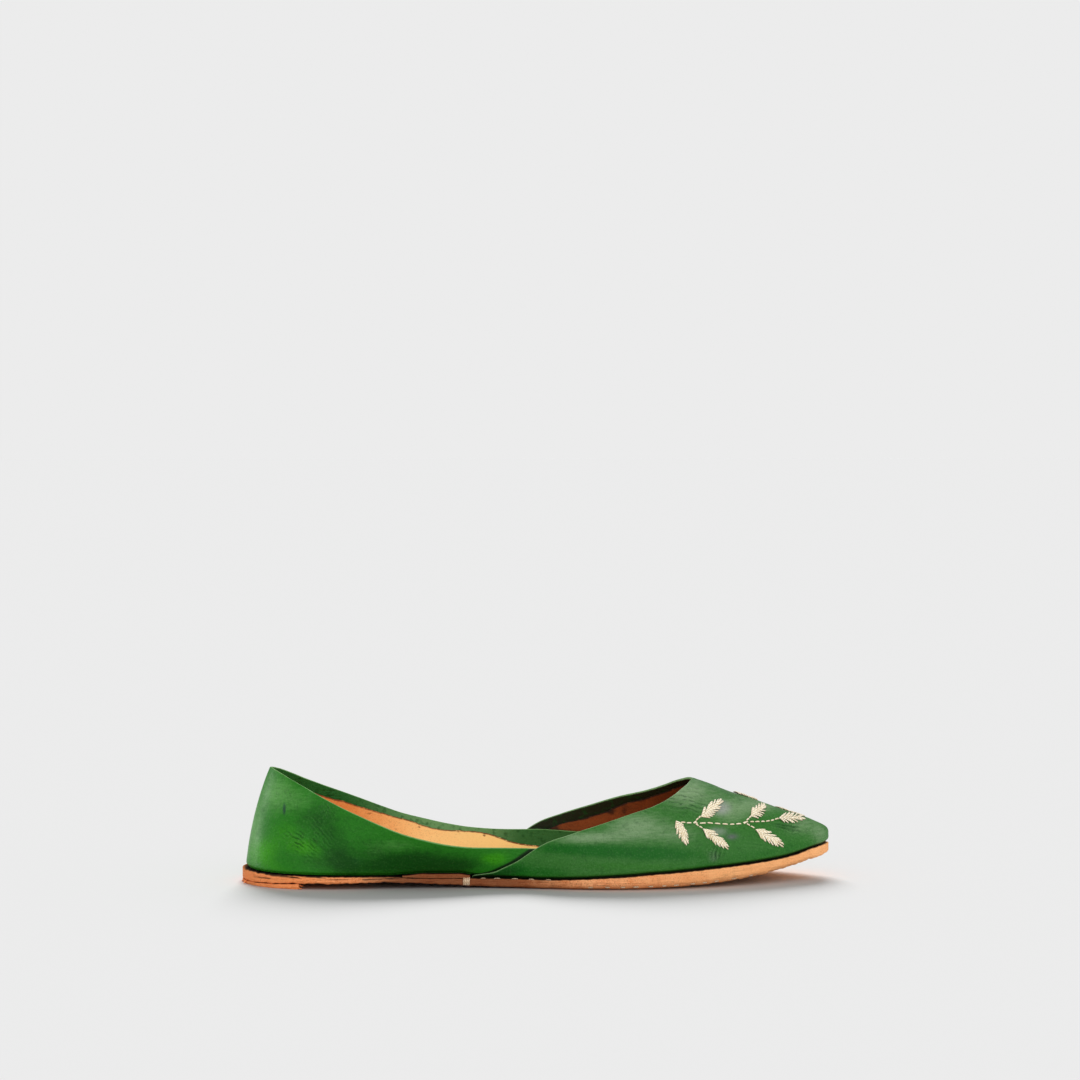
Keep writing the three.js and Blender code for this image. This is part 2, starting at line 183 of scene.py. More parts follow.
# %% Sizes and tables
LENGTH, BALL_WIDTH = 250.0, 74.0
HEEL_HEIGHT, INSTEP_HEIGHT = 48.3, 42.6
TOE_SPRING, ARCH_RISE = 9.8, 2.7
SOLE_THICKNESS, SOLE_ROUNDING, ROUNDING_SLOPE, EDGE_SHARE = 5.2, 5.0, 0.7, 0.75
LIFT_THICKNESS, LAYER_THICKNESS, INSOLE_THICKNESS = 2.1, 1.55, 1.4
QUARTER_WALL, VAMP_WALL, GAP = 1.6, 1.8, 0.3
INSOLE_MARGIN, SOLE_MARGIN, FOOT_HEIGHT = 1.0, 3.2, 5.0
HEEL_CENTRE, LIFT_FRONT, LAYER_BACK, LAYER_FRONT = 0.12, 0.098, 0.27, 0.382
WING_FRONT, LAYER_FADE = 0.585, 0.018

# Share of the length, share of the ball width
OUTLINE = [
    (0.000, 0.000), (0.028, 0.449), (0.076, 0.665), (0.148, 0.757), (0.260, 0.741),
    (0.372, 0.730), (0.468, 0.811), (0.556, 0.941), (0.644, 1.000), (0.724, 0.951),
    (0.804, 0.822), (0.876, 0.638), (0.932, 0.443), (0.976, 0.238), (1.000, 0.000),
]
# Share of the length, then shares of lift, arch, toe spring, thickness and rounding
SOLE = [
    (0.000, 0.57, 0.00, 0.00, 0.92, 0.16), (0.052, 0.76, 0.00, 0.00, 0.71, 0.16),
    (0.100, 1.00, 0.00, 0.00, 0.58, 0.16), (0.164, 0.50, 0.42, 0.00, 0.54, 0.16),
    (0.236, 0.00, 1.00, 0.00, 0.44, 0.16), (0.308, 0.00, 0.74, 0.00, 0.42, 0.16),
    (0.380, 0.00, 0.37, 0.00, 0.59, 0.20), (0.452, 0.00, 0.13, 0.00, 0.70, 0.40),
    (0.520, 0.00, 0.00, 0.00, 0.75, 0.72), (0.630, 0.00, 0.00, 0.00, 1.02, 1.00),
    (0.700, 0.00, 0.00, 0.02, 1.21, 1.04), (0.780, 0.00, 0.00, 0.11, 1.27, 1.00),
    (0.860, 0.00, 0.00, 0.32, 1.13, 0.88), (0.932, 0.00, 0.00, 0.66, 0.88, 0.72),
    (0.972, 0.00, 0.00, 0.87, 0.92, 0.60), (1.000, 0.00, 0.00, 1.00, 0.92, 0.44),
]
LAYER = [(LAYER_BACK, 0.30), (0.308, 1.00), (0.364, 1.00), (LAYER_FRONT, 0.60)]
# Share of the length, rise of the middle line, exponent of the section, lean, share of the margin
LAST = [
    (0.000, 1.930, 2.00, -0.095, 0.44), (0.028, 1.930, 2.00, -0.195, 0.44),
    (0.068, 1.930, 2.00, -0.213, 0.44), (0.116, 1.930, 2.00, -0.155, 0.44),
    (0.164, 1.930, 2.00, 0.075, 0.47), (0.220, 1.930, 2.00, 0.300, 0.47),
    (0.276, 1.930, 2.00, 0.530, 0.50), (0.324, 1.950, 2.00, 0.670, 0.56),
    (0.372, 1.980, 2.00, 0.610, 0.66), (0.428, 1.955, 2.00, 0.290, 0.81),
    (0.484, 1.890, 2.00, 0.140, 0.94), (0.532, 1.750, 2.00, 0.100, 1.00),
    (0.580, 1.590, 2.00, 0.000, 1.00), (0.644, 1.385, 1.90, 0.000, 1.00),
    (0.708, 1.160, 1.80, 0.000, 1.00), (0.764, 1.000, 1.80, 0.000, 1.00),
    (0.820, 0.825, 1.80, 0.000, 0.97), (0.880, 0.630, 1.90, 0.000, 0.91),
    (0.932, 0.440, 2.00, 0.000, 0.81), (0.976, 0.250, 2.10, 0.000, 0.69),
    (1.000, 0.115, 2.20, 0.000, 0.66),
]
# Share of the length, share of the heel height
RIM = [
    (0.044, 1.000), (0.060, 0.973), (0.084, 0.913), (0.132, 0.789), (0.164, 0.714),
    (0.200, 0.634), (0.236, 0.555), (0.272, 0.484), (0.308, 0.433), (0.348, 0.387),
    (0.388, 0.360), (0.436, 0.350), (0.500, 0.344), (0.596, 0.311),
]
# Degrees round the section from the sole to the middle line, share of the length
THROAT = [
    (0.0, 0.386), (1.0, 0.388), (2.3, 0.420), (4.2, 0.438), (6.7, 0.460), (9.5, 0.477),
    (13.0, 0.497), (15.7, 0.516), (19.0, 0.548), (24.7, 0.596), (32.7, 0.644), (42.6, 0.692),
    (53.6, 0.724), (62.0, 0.740), (73.0, 0.755), (90.0, 0.765),
]
print("tables:", len(OUTLINE), len(SOLE), len(LAST), len(RIM), len(THROAT), "rows")

# %% Heights and edges of the sole
width_share = by_turn(smooth_curve, OUTLINE, 1)
lift_share, arch_share, spring_share, thick_share, round_share = (
    by_turn(level_curve, SOLE, column) for column in range(1, 6)
)
rise_share, section_power, wall_lean, margin_share = (
    by_turn(smooth_curve, LAST, column) for column in range(1, 5)
)
layer_share = level_curve(*np.array(LAYER).T)
rim_share = level_curve(*np.array(RIM).T)
throat_share = level_curve(*np.array(THROAT).T)


def x_at(turn):
    """x = length (share - 1/2), share = (1 - cos(pi turn)) / 2."""
    return -LENGTH / 2 * np.cos(np.pi * turn)


def share_of(x):
    """Share of the length at x."""
    return x / LENGTH + 0.5


def half_width(turn):
    """Half the ball width times the outline's share."""
    return BALL_WIDTH / 2 * width_share(turn)


def underside(x):
    """Height under the sole: lift share (lift + gap) + arch share arch + spring share spring."""
    turn = turn_at(share_of(x))
    lift = lift_share(turn) * (LIFT_THICKNESS + GAP)
    return lift + arch_share(turn) * ARCH_RISE + spring_share(turn) * TOE_SPRING


def sole_top(x):
    """Underside plus the sole's thickness there."""
    return underside(x) + thick_share(turn_at(share_of(x))) * SOLE_THICKNESS


def layer_rise(x):
    """Gap and thickness of the waist's layer, fading out in a straight line past its ends."""
    at = share_of(x)
    outside = np.maximum(np.maximum(LAYER_BACK - at, at - LAYER_FRONT), 0) / LAYER_FADE
    return np.maximum(0, 1 - outside) * (GAP + layer_share(at) * LAYER_THICKNESS)


def seat(x):
    """Height at which the quarter stands."""
    return sole_top(x) + layer_rise(x) + GAP


def edge_point(turn, inward):
    """Point (x, y) of the sole's far edge, moved inward along the outline's normal."""
    step = 1e-4
    before, after = np.maximum(0, turn - step), np.minimum(1, turn + step)
    along = np.where((turn <= step) | (turn >= 1 - step), 0, x_at(after) - x_at(before))
    across = half_width(after) - half_width(before)
    size = np.hypot(along, across)
    return x_at(turn) + across / size * inward, half_width(turn) - along / size * inward


# %% The last and the surfaces beside it
RIGHT_ANGLE = np.pi / 2
throat_x = LENGTH * (THROAT[-1][1] - 0.5)
THROAT_RISE = INSTEP_HEIGHT - sole_top(throat_x) - 2 * GAP - VAMP_WALL


def last_point(turn, angle):
    """Point of the last on the far side. On the section, height = rise sin(angle)^(2/power) and
    distance = cos(angle)^(2/power) (foot + lean height), along a fan round the heel's centre."""
    turn, angle = np.broadcast_arrays(np.asarray(turn, float), np.asarray(angle, float))
    foot_x, foot_y = edge_point(turn, margin_share(turn) * SOLE_MARGIN)
    axis = np.maximum(foot_x, LENGTH * (HEEL_CENTRE - 0.5))
    foot = np.hypot(foot_x - axis, foot_y)
    power = 2 / section_power(turn)
    height = THROAT_RISE * rise_share(turn) * np.sin(angle) ** power
    reach = np.maximum(0, np.cos(angle)) ** power * (foot + wall_lean(turn) * height)
    share = reach / np.maximum(foot, 1e-9)
    x = axis + (foot_x - axis) * share
    return np.stack([x, foot_y * share, sole_top(x) + GAP + height], -1)


def beside(turn, angle, outward, side=1):
    """Last point moved outward along its normal, n = dP/dangle x dP/dturn. The normal is made level
    at the foot, so that a wall stands square on the sole. Side is 1 for far and -1 for near."""
    turn, angle = np.broadcast_arrays(np.asarray(turn, float), np.asarray(angle, float))
    step = 1e-3
    t, a = np.clip(turn, step, 1 - step), np.clip(angle, step, RIGHT_ANGLE - step)
    along_turn = last_point(t + step / 2, a) - last_point(t - step / 2, a)
    along_angle = last_point(t, a + step / 2) - last_point(t, a - step / 2)
    normal = np.cross(along_angle, along_turn)
    normal /= np.linalg.norm(normal, axis=-1, keepdims=True)
    middle = (turn <= step) | (turn >= 1 - step) | (angle >= RIGHT_ANGLE - step)
    normal[..., 1] = np.where(middle, 0, normal[..., 1])
    whole = THROAT_RISE * rise_share(turn)
    height = whole * np.sin(angle) ** (2 / section_power(turn))
    normal[..., 2] *= np.minimum(1, height / np.minimum(FOOT_HEIGHT, whole / 2))
    normal /= np.linalg.norm(normal, axis=-1, keepdims=True)
    on = last_point(turn, angle)
    point = on + normal * np.asarray(outward)[..., None]
    point[..., 2] += sole_top(point[..., 0]) - sole_top(on[..., 0])
    point[..., 1] *= side
    return point


def crossing(low, high, value):
    """Arrays of arguments where a rising function passes zero, by halving 40 times."""
    low, high = np.array(low, float), np.array(high, float)
    for _ in range(40):
        middle = (low + high) / 2
        above = value(middle) > 0
        low, high = np.where(above, low, middle), np.where(above, middle, high)
    return (low + high) / 2


print("throat rise over the sole:", round(float(THROAT_RISE), 2), "mm")

# %% [markdown]
# ## From grids to Blender pieces
# Every new piece is one or more grids of points, worked out as whole arrays. A wall of leather is
# two grids, its outside and its inside, joined along their borders. Towards a cut edge the wall
# thins to a rounded lip, as a knife leaves it, so each point needs its distance from the cut.

# %% Helpers for meshes
def quads(rows, columns, first=0, flip=False):
    """Corner numbers of a grid's faces: a, a + columns, a + columns + 1, a + 1."""
    index = first + np.arange(rows * columns).reshape(rows, columns)
    corners = [index[:-1, :-1], index[1:, :-1], index[1:, 1:], index[:-1, 1:]]
    faces = np.stack(corners, -1).reshape(-1, 4)
    return faces[:, ::-1] if flip else faces


MERGE_DISTANCE, SLIVER = 2e-6, 1e-6


def build(name, points, faces, stands_for=None, masks=None):
    """Mesh object from points in millimetres. Masks are numbers per point that materials read, and
    points that fall together, at poles and seams, are merged."""
    mesh = bpy.data.meshes.new(name)
    mesh.from_pydata(points.reshape(-1, 3) * MM, [], faces.tolist())
    for mask, values in (masks or {}).items():
        layer = mesh.attributes.new(mask, "FLOAT", "POINT")
        layer.data.foreach_set("value", np.ascontiguousarray(values, np.float32).ravel())
    made = bmesh.new()
    made.from_mesh(mesh)
    bmesh.ops.remove_doubles(made, verts=made.verts, dist=MERGE_DISTANCE)
    bmesh.ops.dissolve_degenerate(made, edges=made.edges, dist=SLIVER)
    made.to_mesh(mesh)
    made.free()
    mesh.shade_smooth()
    piece = bpy.data.objects.new(name, mesh)
    bpy.context.collection.objects.link(piece)
    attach(piece, "root")
    if stands_for:
        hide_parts(stands_for)
    low, high = points.reshape(-1, 3).min(0), points.reshape(-1, 3).max(0)
    print(f"{name}: {len(mesh.polygons)} faces, from {np.round(low, 1)} to {np.round(high, 1)} mm")
    return piece


def shell(outside, inside, flip=False, nose=False):
    """Points and faces of a closed wall between two grids of the same size. At a nose the last
    column's halves meet each other, so no strip joins the grids there."""
    rows, columns = outside.shape[:2]
    count = rows * columns
    index = np.arange(count).reshape(rows, columns)
    borders = [index[0], index[-1][::-1], index[::-1, 0]] + ([] if nose else [index[:, -1]])
    strips = []
    for line in borders:
        a, b = line[:-1], line[1:]
        strips.append(np.stack([a, b, b + count, a + count], -1))
    skins = [quads(rows, columns, 0), quads(rows, columns, count, flip=True)]
    faces = np.concatenate(skins + strips)
    points = np.concatenate([outside.reshape(-1, 3), inside.reshape(-1, 3)])
    return points, faces[:, ::-1] if flip else faces


def smoothstep(low, high, value):
    """t^2 (3 - 2t), with t the place of the value between low and high, held to 0..1."""
    t = np.clip((value - low) / (high - low), 0, 1)
    return t * t * (3 - 2 * t)


def lip(distance, radius=0.5, edge=0.35):
    """Share of a wall's thickness near a cut: a quarter ellipse from the edge's share to 1."""
    t = np.clip(distance / radius, 0, 1)
    return edge + (1 - edge) * np.sqrt(1 - (1 - t) ** 2)


def run_length(points, axis):
    """Distance along the grid's lines from their first point: the running sum of the steps."""
    steps = np.linalg.norm(np.diff(points, axis=axis), axis=-1)
    start = np.zeros_like(np.take(steps, [0], axis))
    return np.concatenate([start, np.cumsum(steps, axis)], axis)


def wander(place, wavelengths, seed):
    """Mean of sines of the given wavelengths, each at its own seeded phase: about -1 to 1."""
    phases = np.random.default_rng(seed).uniform(0, 2 * np.pi, len(wavelengths))
    waves = [np.sin(2 * np.pi * place / w + p) for w, p in zip(wavelengths, phases)]
    return sum(waves) / len(waves)


def spots(x, z, rows):
    """Sum of soft patches (x, z, reach along, reach up, strength): strength exp(-dx^2 - dz^2)."""
    total = np.zeros_like(x)
    for at_x, at_z, along, up, strength in rows:
        total += strength * np.exp(-(((x - at_x) / along) ** 2) - ((z - at_z) / up) ** 2)
    return total


def patches(x, z, tables):
    """One number per point for each named table of soft patches."""
    return {name: spots(x, z, rows) for name, rows in tables.items()}


def folds(x, z, rows):
    """Two numbers that draw bundles of fine wrinkles (x, z, slant, reach along, reach across,
    spacing, strength): how many wrinkles lie between a point and the bundle's line, and the
    bundle's strength exp(-du^2 - dv^2) there. Each point listens to the strongest bundle."""
    count, strongest = np.zeros_like(x), np.zeros_like(x)
    for at_x, at_z, slant, along, across, spacing, strength in rows:
        ax, az = np.cos(np.radians(slant)), np.sin(np.radians(slant))
        u, v = (x - at_x) * ax + (z - at_z) * az, (z - at_z) * ax - (x - at_x) * az
        here = strength * np.exp(-((u / along) ** 2) - (v / across) ** 2)
        bowed = v + 0.02 * u * u / along
        count = np.where(here > strongest, bowed / spacing, count)
        strongest = np.maximum(strongest, here)
    return {"fold": count, "folded": strongest}


def furrows(x, z, rows):
    """Sum of soft troughs along lines (x0, z0, x1, z1, width, depth, bow): depth exp(-(d/width)^2)
    with d the distance from the bowed line, fading over its two ends."""
    total = np.zeros_like(x)
    for x0, z0, x1, z1, width, depth, bow in rows:
        length = np.hypot(x1 - x0, z1 - z0)
        ax, az = (x1 - x0) / length, (z1 - z0) / length
        t = ((x - x0) * ax + (z - z0) * az) / length
        bend = bow * 4 * np.clip(t, 0, 1) * (1 - np.clip(t, 0, 1))
        d = (z - z0) * ax - (x - x0) * az - bend
        ends = smoothstep(-0.12, 0.25, t) * smoothstep(-0.12, 0.25, 1 - t)
        total += depth * ends * np.exp(-((d / width) ** 2))
    return total


def pared(from_cut, near, far):
    """1 within the near distance from a cut and 0 past the far one, on both grids of a wall."""
    return 1 - smoothstep(near, far, np.concatenate([from_cut.ravel()] * 2))


def hidden_side(points):
    """0 on the outside grid's points and 1 on the inside's."""
    return np.repeat([0.0, 1.0], len(points) // 2)


# %% [markdown]
# ## The vamp
# The vamp is one piece of leather from its rear edge and throat to the nose. It is made here as
# rows that run from the near foot over the middle line to the far foot, and columns that run from
# the rear edge to the nose, close together at the cut. Where the foot bends, the real leather has
# soft slanted creases. They are placed as troughs in the skin's distance from the last. The
# bundles of wrinkles finer than the mesh, behind the upper leaf, near the nose and under the sprig,
# are drawn by the material, from a count of wrinkles that is stored on the points.

# %% Vamp surface
VAMP_SKIN = 1.15
VAMP_ROWS, VAMP_COLUMNS = 170, 220
VAMP_CREASES = [
    (96.5, 24.4, 105.5, 22.2, 0.90, -0.30, 0.4), (99.5, 23.2, 112.5, 20.1, 0.90, -0.38, 0.4),
    (48.0, 37.0, 62.0, 33.8, 1.00, -0.30, 0.3), (52.0, 33.6, 68.0, 29.9, 1.00, -0.32, 0.3),
    (60.0, 35.6, 70.0, 32.4, 0.80, -0.22, 0.2), (71.5, 18.0, 70.4, 11.0, 0.80, -0.16, 0.0),
    (75.2, 17.4, 74.4, 11.8, 0.80, -0.16, 0.0), (77.0, 39.4, 88.0, 31.8, 2.20, -0.30, 0.6),
    (94.0, 17.6, 107.0, 14.2, 0.90, -0.20, 0.3),
]
VAMP_FOLDS = [
    (62, 34.6, -12, 9.0, 4.4, 1.60, 0.90), (106, 22.8, -14, 7.0, 2.0, 1.35, 1.00),
    (73.4, 13.6, 78, 3.4, 2.8, 1.70, 1.00), (44, 33.0, -20, 7.0, 3.0, 1.80, 0.35),
    (83, 35.0, -60, 3.5, 2.6, 1.50, 0.45), (92, 16.0, -10, 8.0, 1.8, 1.50, 0.30),
]


def vamp_turns(angle):
    """Turns of the rear edge: where the outer skin's share of the length meets the throat's curve."""
    def past_edge(turn):
        place = share_of(beside(turn, angle, GAP + VAMP_WALL)[..., 0])
        return place - throat_share(np.degrees(angle))
    low, high = np.full_like(angle, turn_at(0.2)), np.full_like(angle, turn_at(0.9))
    return crossing(low, high, past_edge)


def vamp_grid(setback):
    """Turn, angle and side of the vamp's points: angle = 90 (1 - |v|)^1.6 degrees with v from -1 at
    the near foot to 1 at the far one, turn from the rear edge, set back by millimetres, to 1. Rows
    meet the edge at a slant, whose sine turns distances along a row into distances from the edge."""
    v = np.linspace(-1, 1, VAMP_ROWS + 1)
    side = np.where(v < 0, -1.0, 1.0)
    angle = RIGHT_ANGLE * (1 - np.abs(v)) ** 1.6
    start = vamp_turns(angle)
    edge = beside(start, angle, GAP, side)
    stride = beside(start + 1e-3, angle, GAP, side) - edge
    tangent = np.gradient(edge, axis=0)
    span = np.linalg.norm(stride, axis=-1)
    slant = np.linalg.norm(np.cross(stride, tangent), axis=-1) / span / np.linalg.norm(tangent, axis=-1)
    slant = np.clip(slant, 0.2, 1.0)
    start = start + setback(np.degrees(angle), v) / slant * 1e-3 / span
    near_cut = [0, 3e-4, 7e-4, 1.2e-3, 2e-3, 3e-3, 5e-3, 8e-3, 1.2e-2]
    w = np.concatenate([near_cut, np.linspace(0.017, 1, VAMP_COLUMNS)])
    turn = start[:, None] + (1 - start[:, None]) * w
    return turn, np.broadcast_to(angle[:, None], turn.shape), side[:, None], slant[:, None]


def tuck(height):
    """The upper's foot is drawn in under itself by the seam: -1.1 exp(-(height / 0.8)^2) mm."""
    return -1.1 * np.exp(-((height / 0.8) ** 2))


def lift_foot(points, foot):
    """Lifts a grid's foot off the sole by g exp(-h / 1.5), with h a point's height over the foot.
    The gap g is 0.05 mm, with 0.2 more towards the toe, where the seam has opened, 0.12 more at
    the heel, and unevenly up to 0.1 more."""
    x, z = points[..., 0], points[..., 2]
    opened = 0.05 + 0.20 * smoothstep(35, 95, x) + 0.12 * (1 - smoothstep(-70, -50, x))
    gap = opened + 0.10 * (1 + wander(x, [4, 7, 13, 22], 7)) / 2
    points[..., 2] = z + gap * np.exp(-np.maximum(z - foot(x), 0) / 1.5)


def over_sole(x):
    """Height of the vamp's foot: a gap over the sole."""
    return sole_top(x) + GAP


def vamp_walls(setback, core, thickness, relief):
    """Outside and inside grids of a layer of the vamp, whose middle lies the core's distance off the
    last, and the distance of each point from the rear cut."""
    turn, angle, side, slant = vamp_grid(setback)
    middle = beside(turn, angle, core, side)
    from_cut = run_length(middle, 1) * slant
    half = thickness / 2 * lip(from_cut)
    x, z = middle[..., 0], middle[..., 2]
    creases, drawn = relief(x, z, from_cut), tuck(z - over_sole(x))
    outside = beside(turn, angle, core + half + creases + drawn, side)
    inside = beside(turn, angle, core - half + creases / 2 + drawn, side)
    for grid in (outside, inside):
        for row in (0, -1):
            grid[row, :, 2] = over_sole(grid[row, :, 0])
        lift_foot(grid, over_sole)
    return outside, inside, from_cut


def vamp_relief(x, z, from_cut):
    """The creases, fading at the cut, and slow waves of a twentieth of a millimetre."""
    waves = wander(x + 0.6 * z, [7, 11, 17, 29], 3) * wander(z, [5, 9, 15], 4)
    return furrows(x, z, VAMP_CREASES) * smoothstep(0, 3, from_cut) + 0.05 * waves


def no_setback(degrees, v):
    """The skin reaches the cut everywhere."""
    return 0 * v


core = GAP + VAMP_WALL - VAMP_SKIN / 2
outer, inner, from_cut = vamp_walls(no_setback, core, VAMP_SKIN, vamp_relief)
near_edge = outer[: VAMP_ROWS // 2 + 1, 0]
vamp_edge = (near_edge[:, 2], near_edge[:, 0])
print("vamp rear edge from x", round(float(outer[0, 0, 0]), 1), "to", round(float(outer[..., 0].max()), 1))

# %% [markdown]
# The dye on the vamp is uneven, as hand-rubbed dye is: a dark band along the side, a greyer bloom
# where the leather was burnished over the instep, a bluish patch and a bruise between the leaves.
# The bloom patches also paint the highlight along the top of the instep, and the shade patches and
# the dark ones at the rear corner paint shade.
# Each is a soft patch, and is stored on the points as a number that the material
# reads. The far side has the same patches a little further back.

# %% Vamp piece
FAR_SHIFT = 4.0
VAMP_PATCHES = {
    "dark": [
        (6, 17.2, 11, 2.4, 0.80), (24, 16.4, 13, 2.6, 1.20), (45, 15.2, 13, 2.8, 1.20),
        # The patches at x -13 and -22 darken the vamp's rear corner: painted shade.
        (62, 13.8, 12, 2.8, 0.60), (-13, 7.5, 10, 4.2, 1.10), (-22, 5.0, 7, 3.2, 1.10),
        (4, 6.8, 9, 3.0, 0.60), (92, 12.6, 14, 2.4, 0.45), (70, 9.0, 14, 2.6, 0.45),
        (18, 26.0, 3, 1.2, 0.20), (36, 21.0, 8, 2.0, 0.35), (110, 15.0, 10, 1.8, 0.35),
    ],
    "bright": [
        (28, 10.0, 16, 2.6, 0.55), (52, 9.6, 14, 2.2, 0.50), (8, 11.0, 7, 2.4, 0.25),
        (66, 14.0, 10, 3.0, 0.35), (100, 18.0, 9, 4.0, 0.25), (84, 16.0, 8, 3.0, 0.20),
    ],
    # Bloom: the burnished leather's greyer tone, and a painted highlight along the top of the instep.
    "bloom_and_highlight": [
        (18, 21.5, 15, 2.6, 0.60), (40, 26.0, 14, 6.0, 0.62), (62, 38.0, 12, 5.0, 0.72),
        (80, 30.0, 12, 6.0, 0.54), (112, 23.0, 8, 5.0, 0.45), (58, 22.0, 10, 4.0, 0.35),
        (121, 18.0, 5, 6.0, 0.40), (96, 31.0, 10, 3.0, 0.45),
    ],
    "blue": [(77, 31.5, 5, 3.2, 0.80), (74, 22.6, 6, 2.4, 0.60), (72, 13.0, 4, 4.0, 0.35)],
    "bruise": [(80.4, 20.4, 2.4, 1.1, 0.85)],
    # Painted shade: the vamp's rear corner, and low near the nose.
    "shade": [(-13, 7.5, 8, 3.4, 0.50), (-23, 4.6, 7, 2.6, 0.60), (112, 12.5, 12, 1.2, 0.20)],
    "scratch": [(72, 14.6, 4.0, 4.0, 1.0), (56, 33.5, 8.0, 4.0, 0.6), (104, 22.0, 9, 3.0, 0.5)],
}

points, faces = shell(outer, inner, flip=True, nose=True)
x, z = points[:, 0] + np.where(points[:, 1] > 0, FAR_SHIFT, 0.0), points[:, 2]
vamp_masks = {**patches(x, z, VAMP_PATCHES), **folds(x, z, VAMP_FOLDS)}
# Painted shade along the vamp's foot, where it meets the sole.
vamp_masks["shade"] += 0.8 * (1 - smoothstep(0.3, 1.5, z - seat(x)))
# The creases' troughs are painted darker: painted shade.
vamp_masks["crease_shade"] = -furrows(x, z, VAMP_CREASES) * 2.4
vamp_masks["cut"], vamp_masks["within"] = pared(from_cut, 0.06, 0.34), hidden_side(points)
vamp = build("vamp_skin", points, faces, "vamp", vamp_masks)

# %% [markdown]
# The vamp's lining is a second, thinner sheet of brown leather, its brown partly its own and partly
# painted shade inside the toe. It stops 3 to 5 mm short of the edge with a hand-cut, slightly ragged
# line, so that a band of the green leather's inside, painted near black as shade, shows round the
# opening.

# %% Vamp lining
VAMP_LINING, LINING_MIDDLE = 0.55, 0.32
band_width = level_curve([0, 10, 20, 28, 40, 90], [5.4, 5.4, 4.9, 4.0, 3.2, 3.2])


def lining_setback(degrees, v):
    """Width of the bare band by the angle round the section, plus a ragged quarter millimetre."""
    return band_width(degrees) + 0.25 * wander(v, [0.03, 0.05, 0.11, 0.19], 8)


def faint_waves(x, z, from_cut):
    """Slow waves of a fiftieth of a millimetre."""
    return 0.02 * wander(x, [6, 10, 17], 9) * wander(z, [5, 8], 10)


outer, inner, from_cut = vamp_walls(lining_setback, GAP + LINING_MIDDLE, VAMP_LINING, faint_waves)
points, faces = shell(outer, inner, flip=True, nose=True)
dyed = spots(points[:, 0], points[:, 2], [
    (8, 17, 3.2, 2.4, 1.2), (22, 22, 2.6, 2.0, 1.2), (46, 31, 2.8, 2.4, 1.2), (34, 24, 2.4, 1.8, 1.0),
    (14, 15, 6.0, 1.2, 0.6), (40, 25, 2.0, 4.0, 0.6), (28, 28, 5.0, 1.4, 0.6),
])
lining_masks = {"cut": pared(from_cut, 0.2, 0.6), "dye": dyed, "wear_and_light": 0 * dyed}
build("vamp_lining", points, faces, None, lining_masks)

# %% [markdown]
# ## The quarter
# The quarter is one strip of leather that stands on the sole round the heel. It is worked out in
# rows from the far wing round the heel to the near wing, and each row runs from the sole up to the
# top line. Its skin is again thinner than the CAD wall, and a tan lining fills the rest.

# %% Quarter surface
QUARTER_SKIN, QUARTER_LINING = 0.85, 0.65
QUARTER_TURNS, QUARTER_ROWS = 210, 70
NEAR_CUT = np.array([0, 5e-4, 1.2e-3, 2.2e-3, 4e-3, 7e-3, 1.1e-2])


def height_angle(turn, height_at):
    """Angle round the section at which the last reaches the height asked for at its x."""
    def over(angle):
        point = last_point(turn, angle)
        return point[..., 2] - height_at(point[..., 0])
    return crossing(0 * turn, 0 * turn + RIGHT_ANGLE, over)


def rim_height(x):
    """The top line: heel height times the rim's share."""
    return HEEL_HEIGHT * rim_share(share_of(x))


def quarter_walls(top, core, thickness, relief):
    """Outside and inside grids of a layer of the quarter under the top line given, and the distance
    of each point from the nearest cut. Crowded rows and turns follow the cuts."""
    wing = turn_at(WING_FRONT)
    w = np.concatenate([-1 + NEAR_CUT, np.linspace(-0.985, 0.985, 2 * QUARTER_TURNS + 1), 1 - NEAR_CUT[::-1]])
    turns = wing * np.abs(w)
    side = np.where(w < 0, 1.0, -1.0)[:, None]
    low, high = height_angle(turns, seat), height_angle(turns, top)
    foot_rows = [0, 0.004, 0.009, 0.015, 0.022, 0.030, 0.040, 0.052, 0.066]
    rows = np.concatenate([foot_rows, np.linspace(0.082, 0.985, QUARTER_ROWS), 1 - NEAR_CUT[::-1]])
    angle = low[:, None] + (high - low)[:, None] * rows
    turn = np.broadcast_to(turns[:, None], angle.shape)
    middle = beside(turn, angle, core, side)
    from_rim = run_length(middle[:, ::-1], 1)[:, ::-1]
    ends = run_length(middle, 0)
    from_cut = np.minimum(from_rim, np.minimum(ends, ends[-1:] - ends))
    half = thickness / 2 * lip(from_cut)
    x, z = middle[..., 0], middle[..., 2]
    lift = relief(x, z, from_rim) + tuck(z - seat(x))
    outside = beside(turn, angle, core + half + lift, side)
    inside = beside(turn, angle, core - half + lift, side)
    for grid in (outside, inside):
        grid[:, 0, 2] = seat(grid[:, 0, 0])
        lift_foot(grid, seat)
    return outside, inside, from_cut


def quarter_relief(x, z, from_rim):
    """Slow waves of a twentieth of a millimetre, fading out towards the rim."""
    waves = wander(x - 0.5 * z, [9, 14, 23], 5) * wander(z, [7, 12, 19], 6)
    return 0.05 * waves * smoothstep(0, 4, from_rim)


outer, inner, from_cut = quarter_walls(rim_height, -QUARTER_SKIN / 2, QUARTER_SKIN, quarter_relief)
print("quarter top", round(float(outer[..., 2].max()), 1), "mm over the floor")

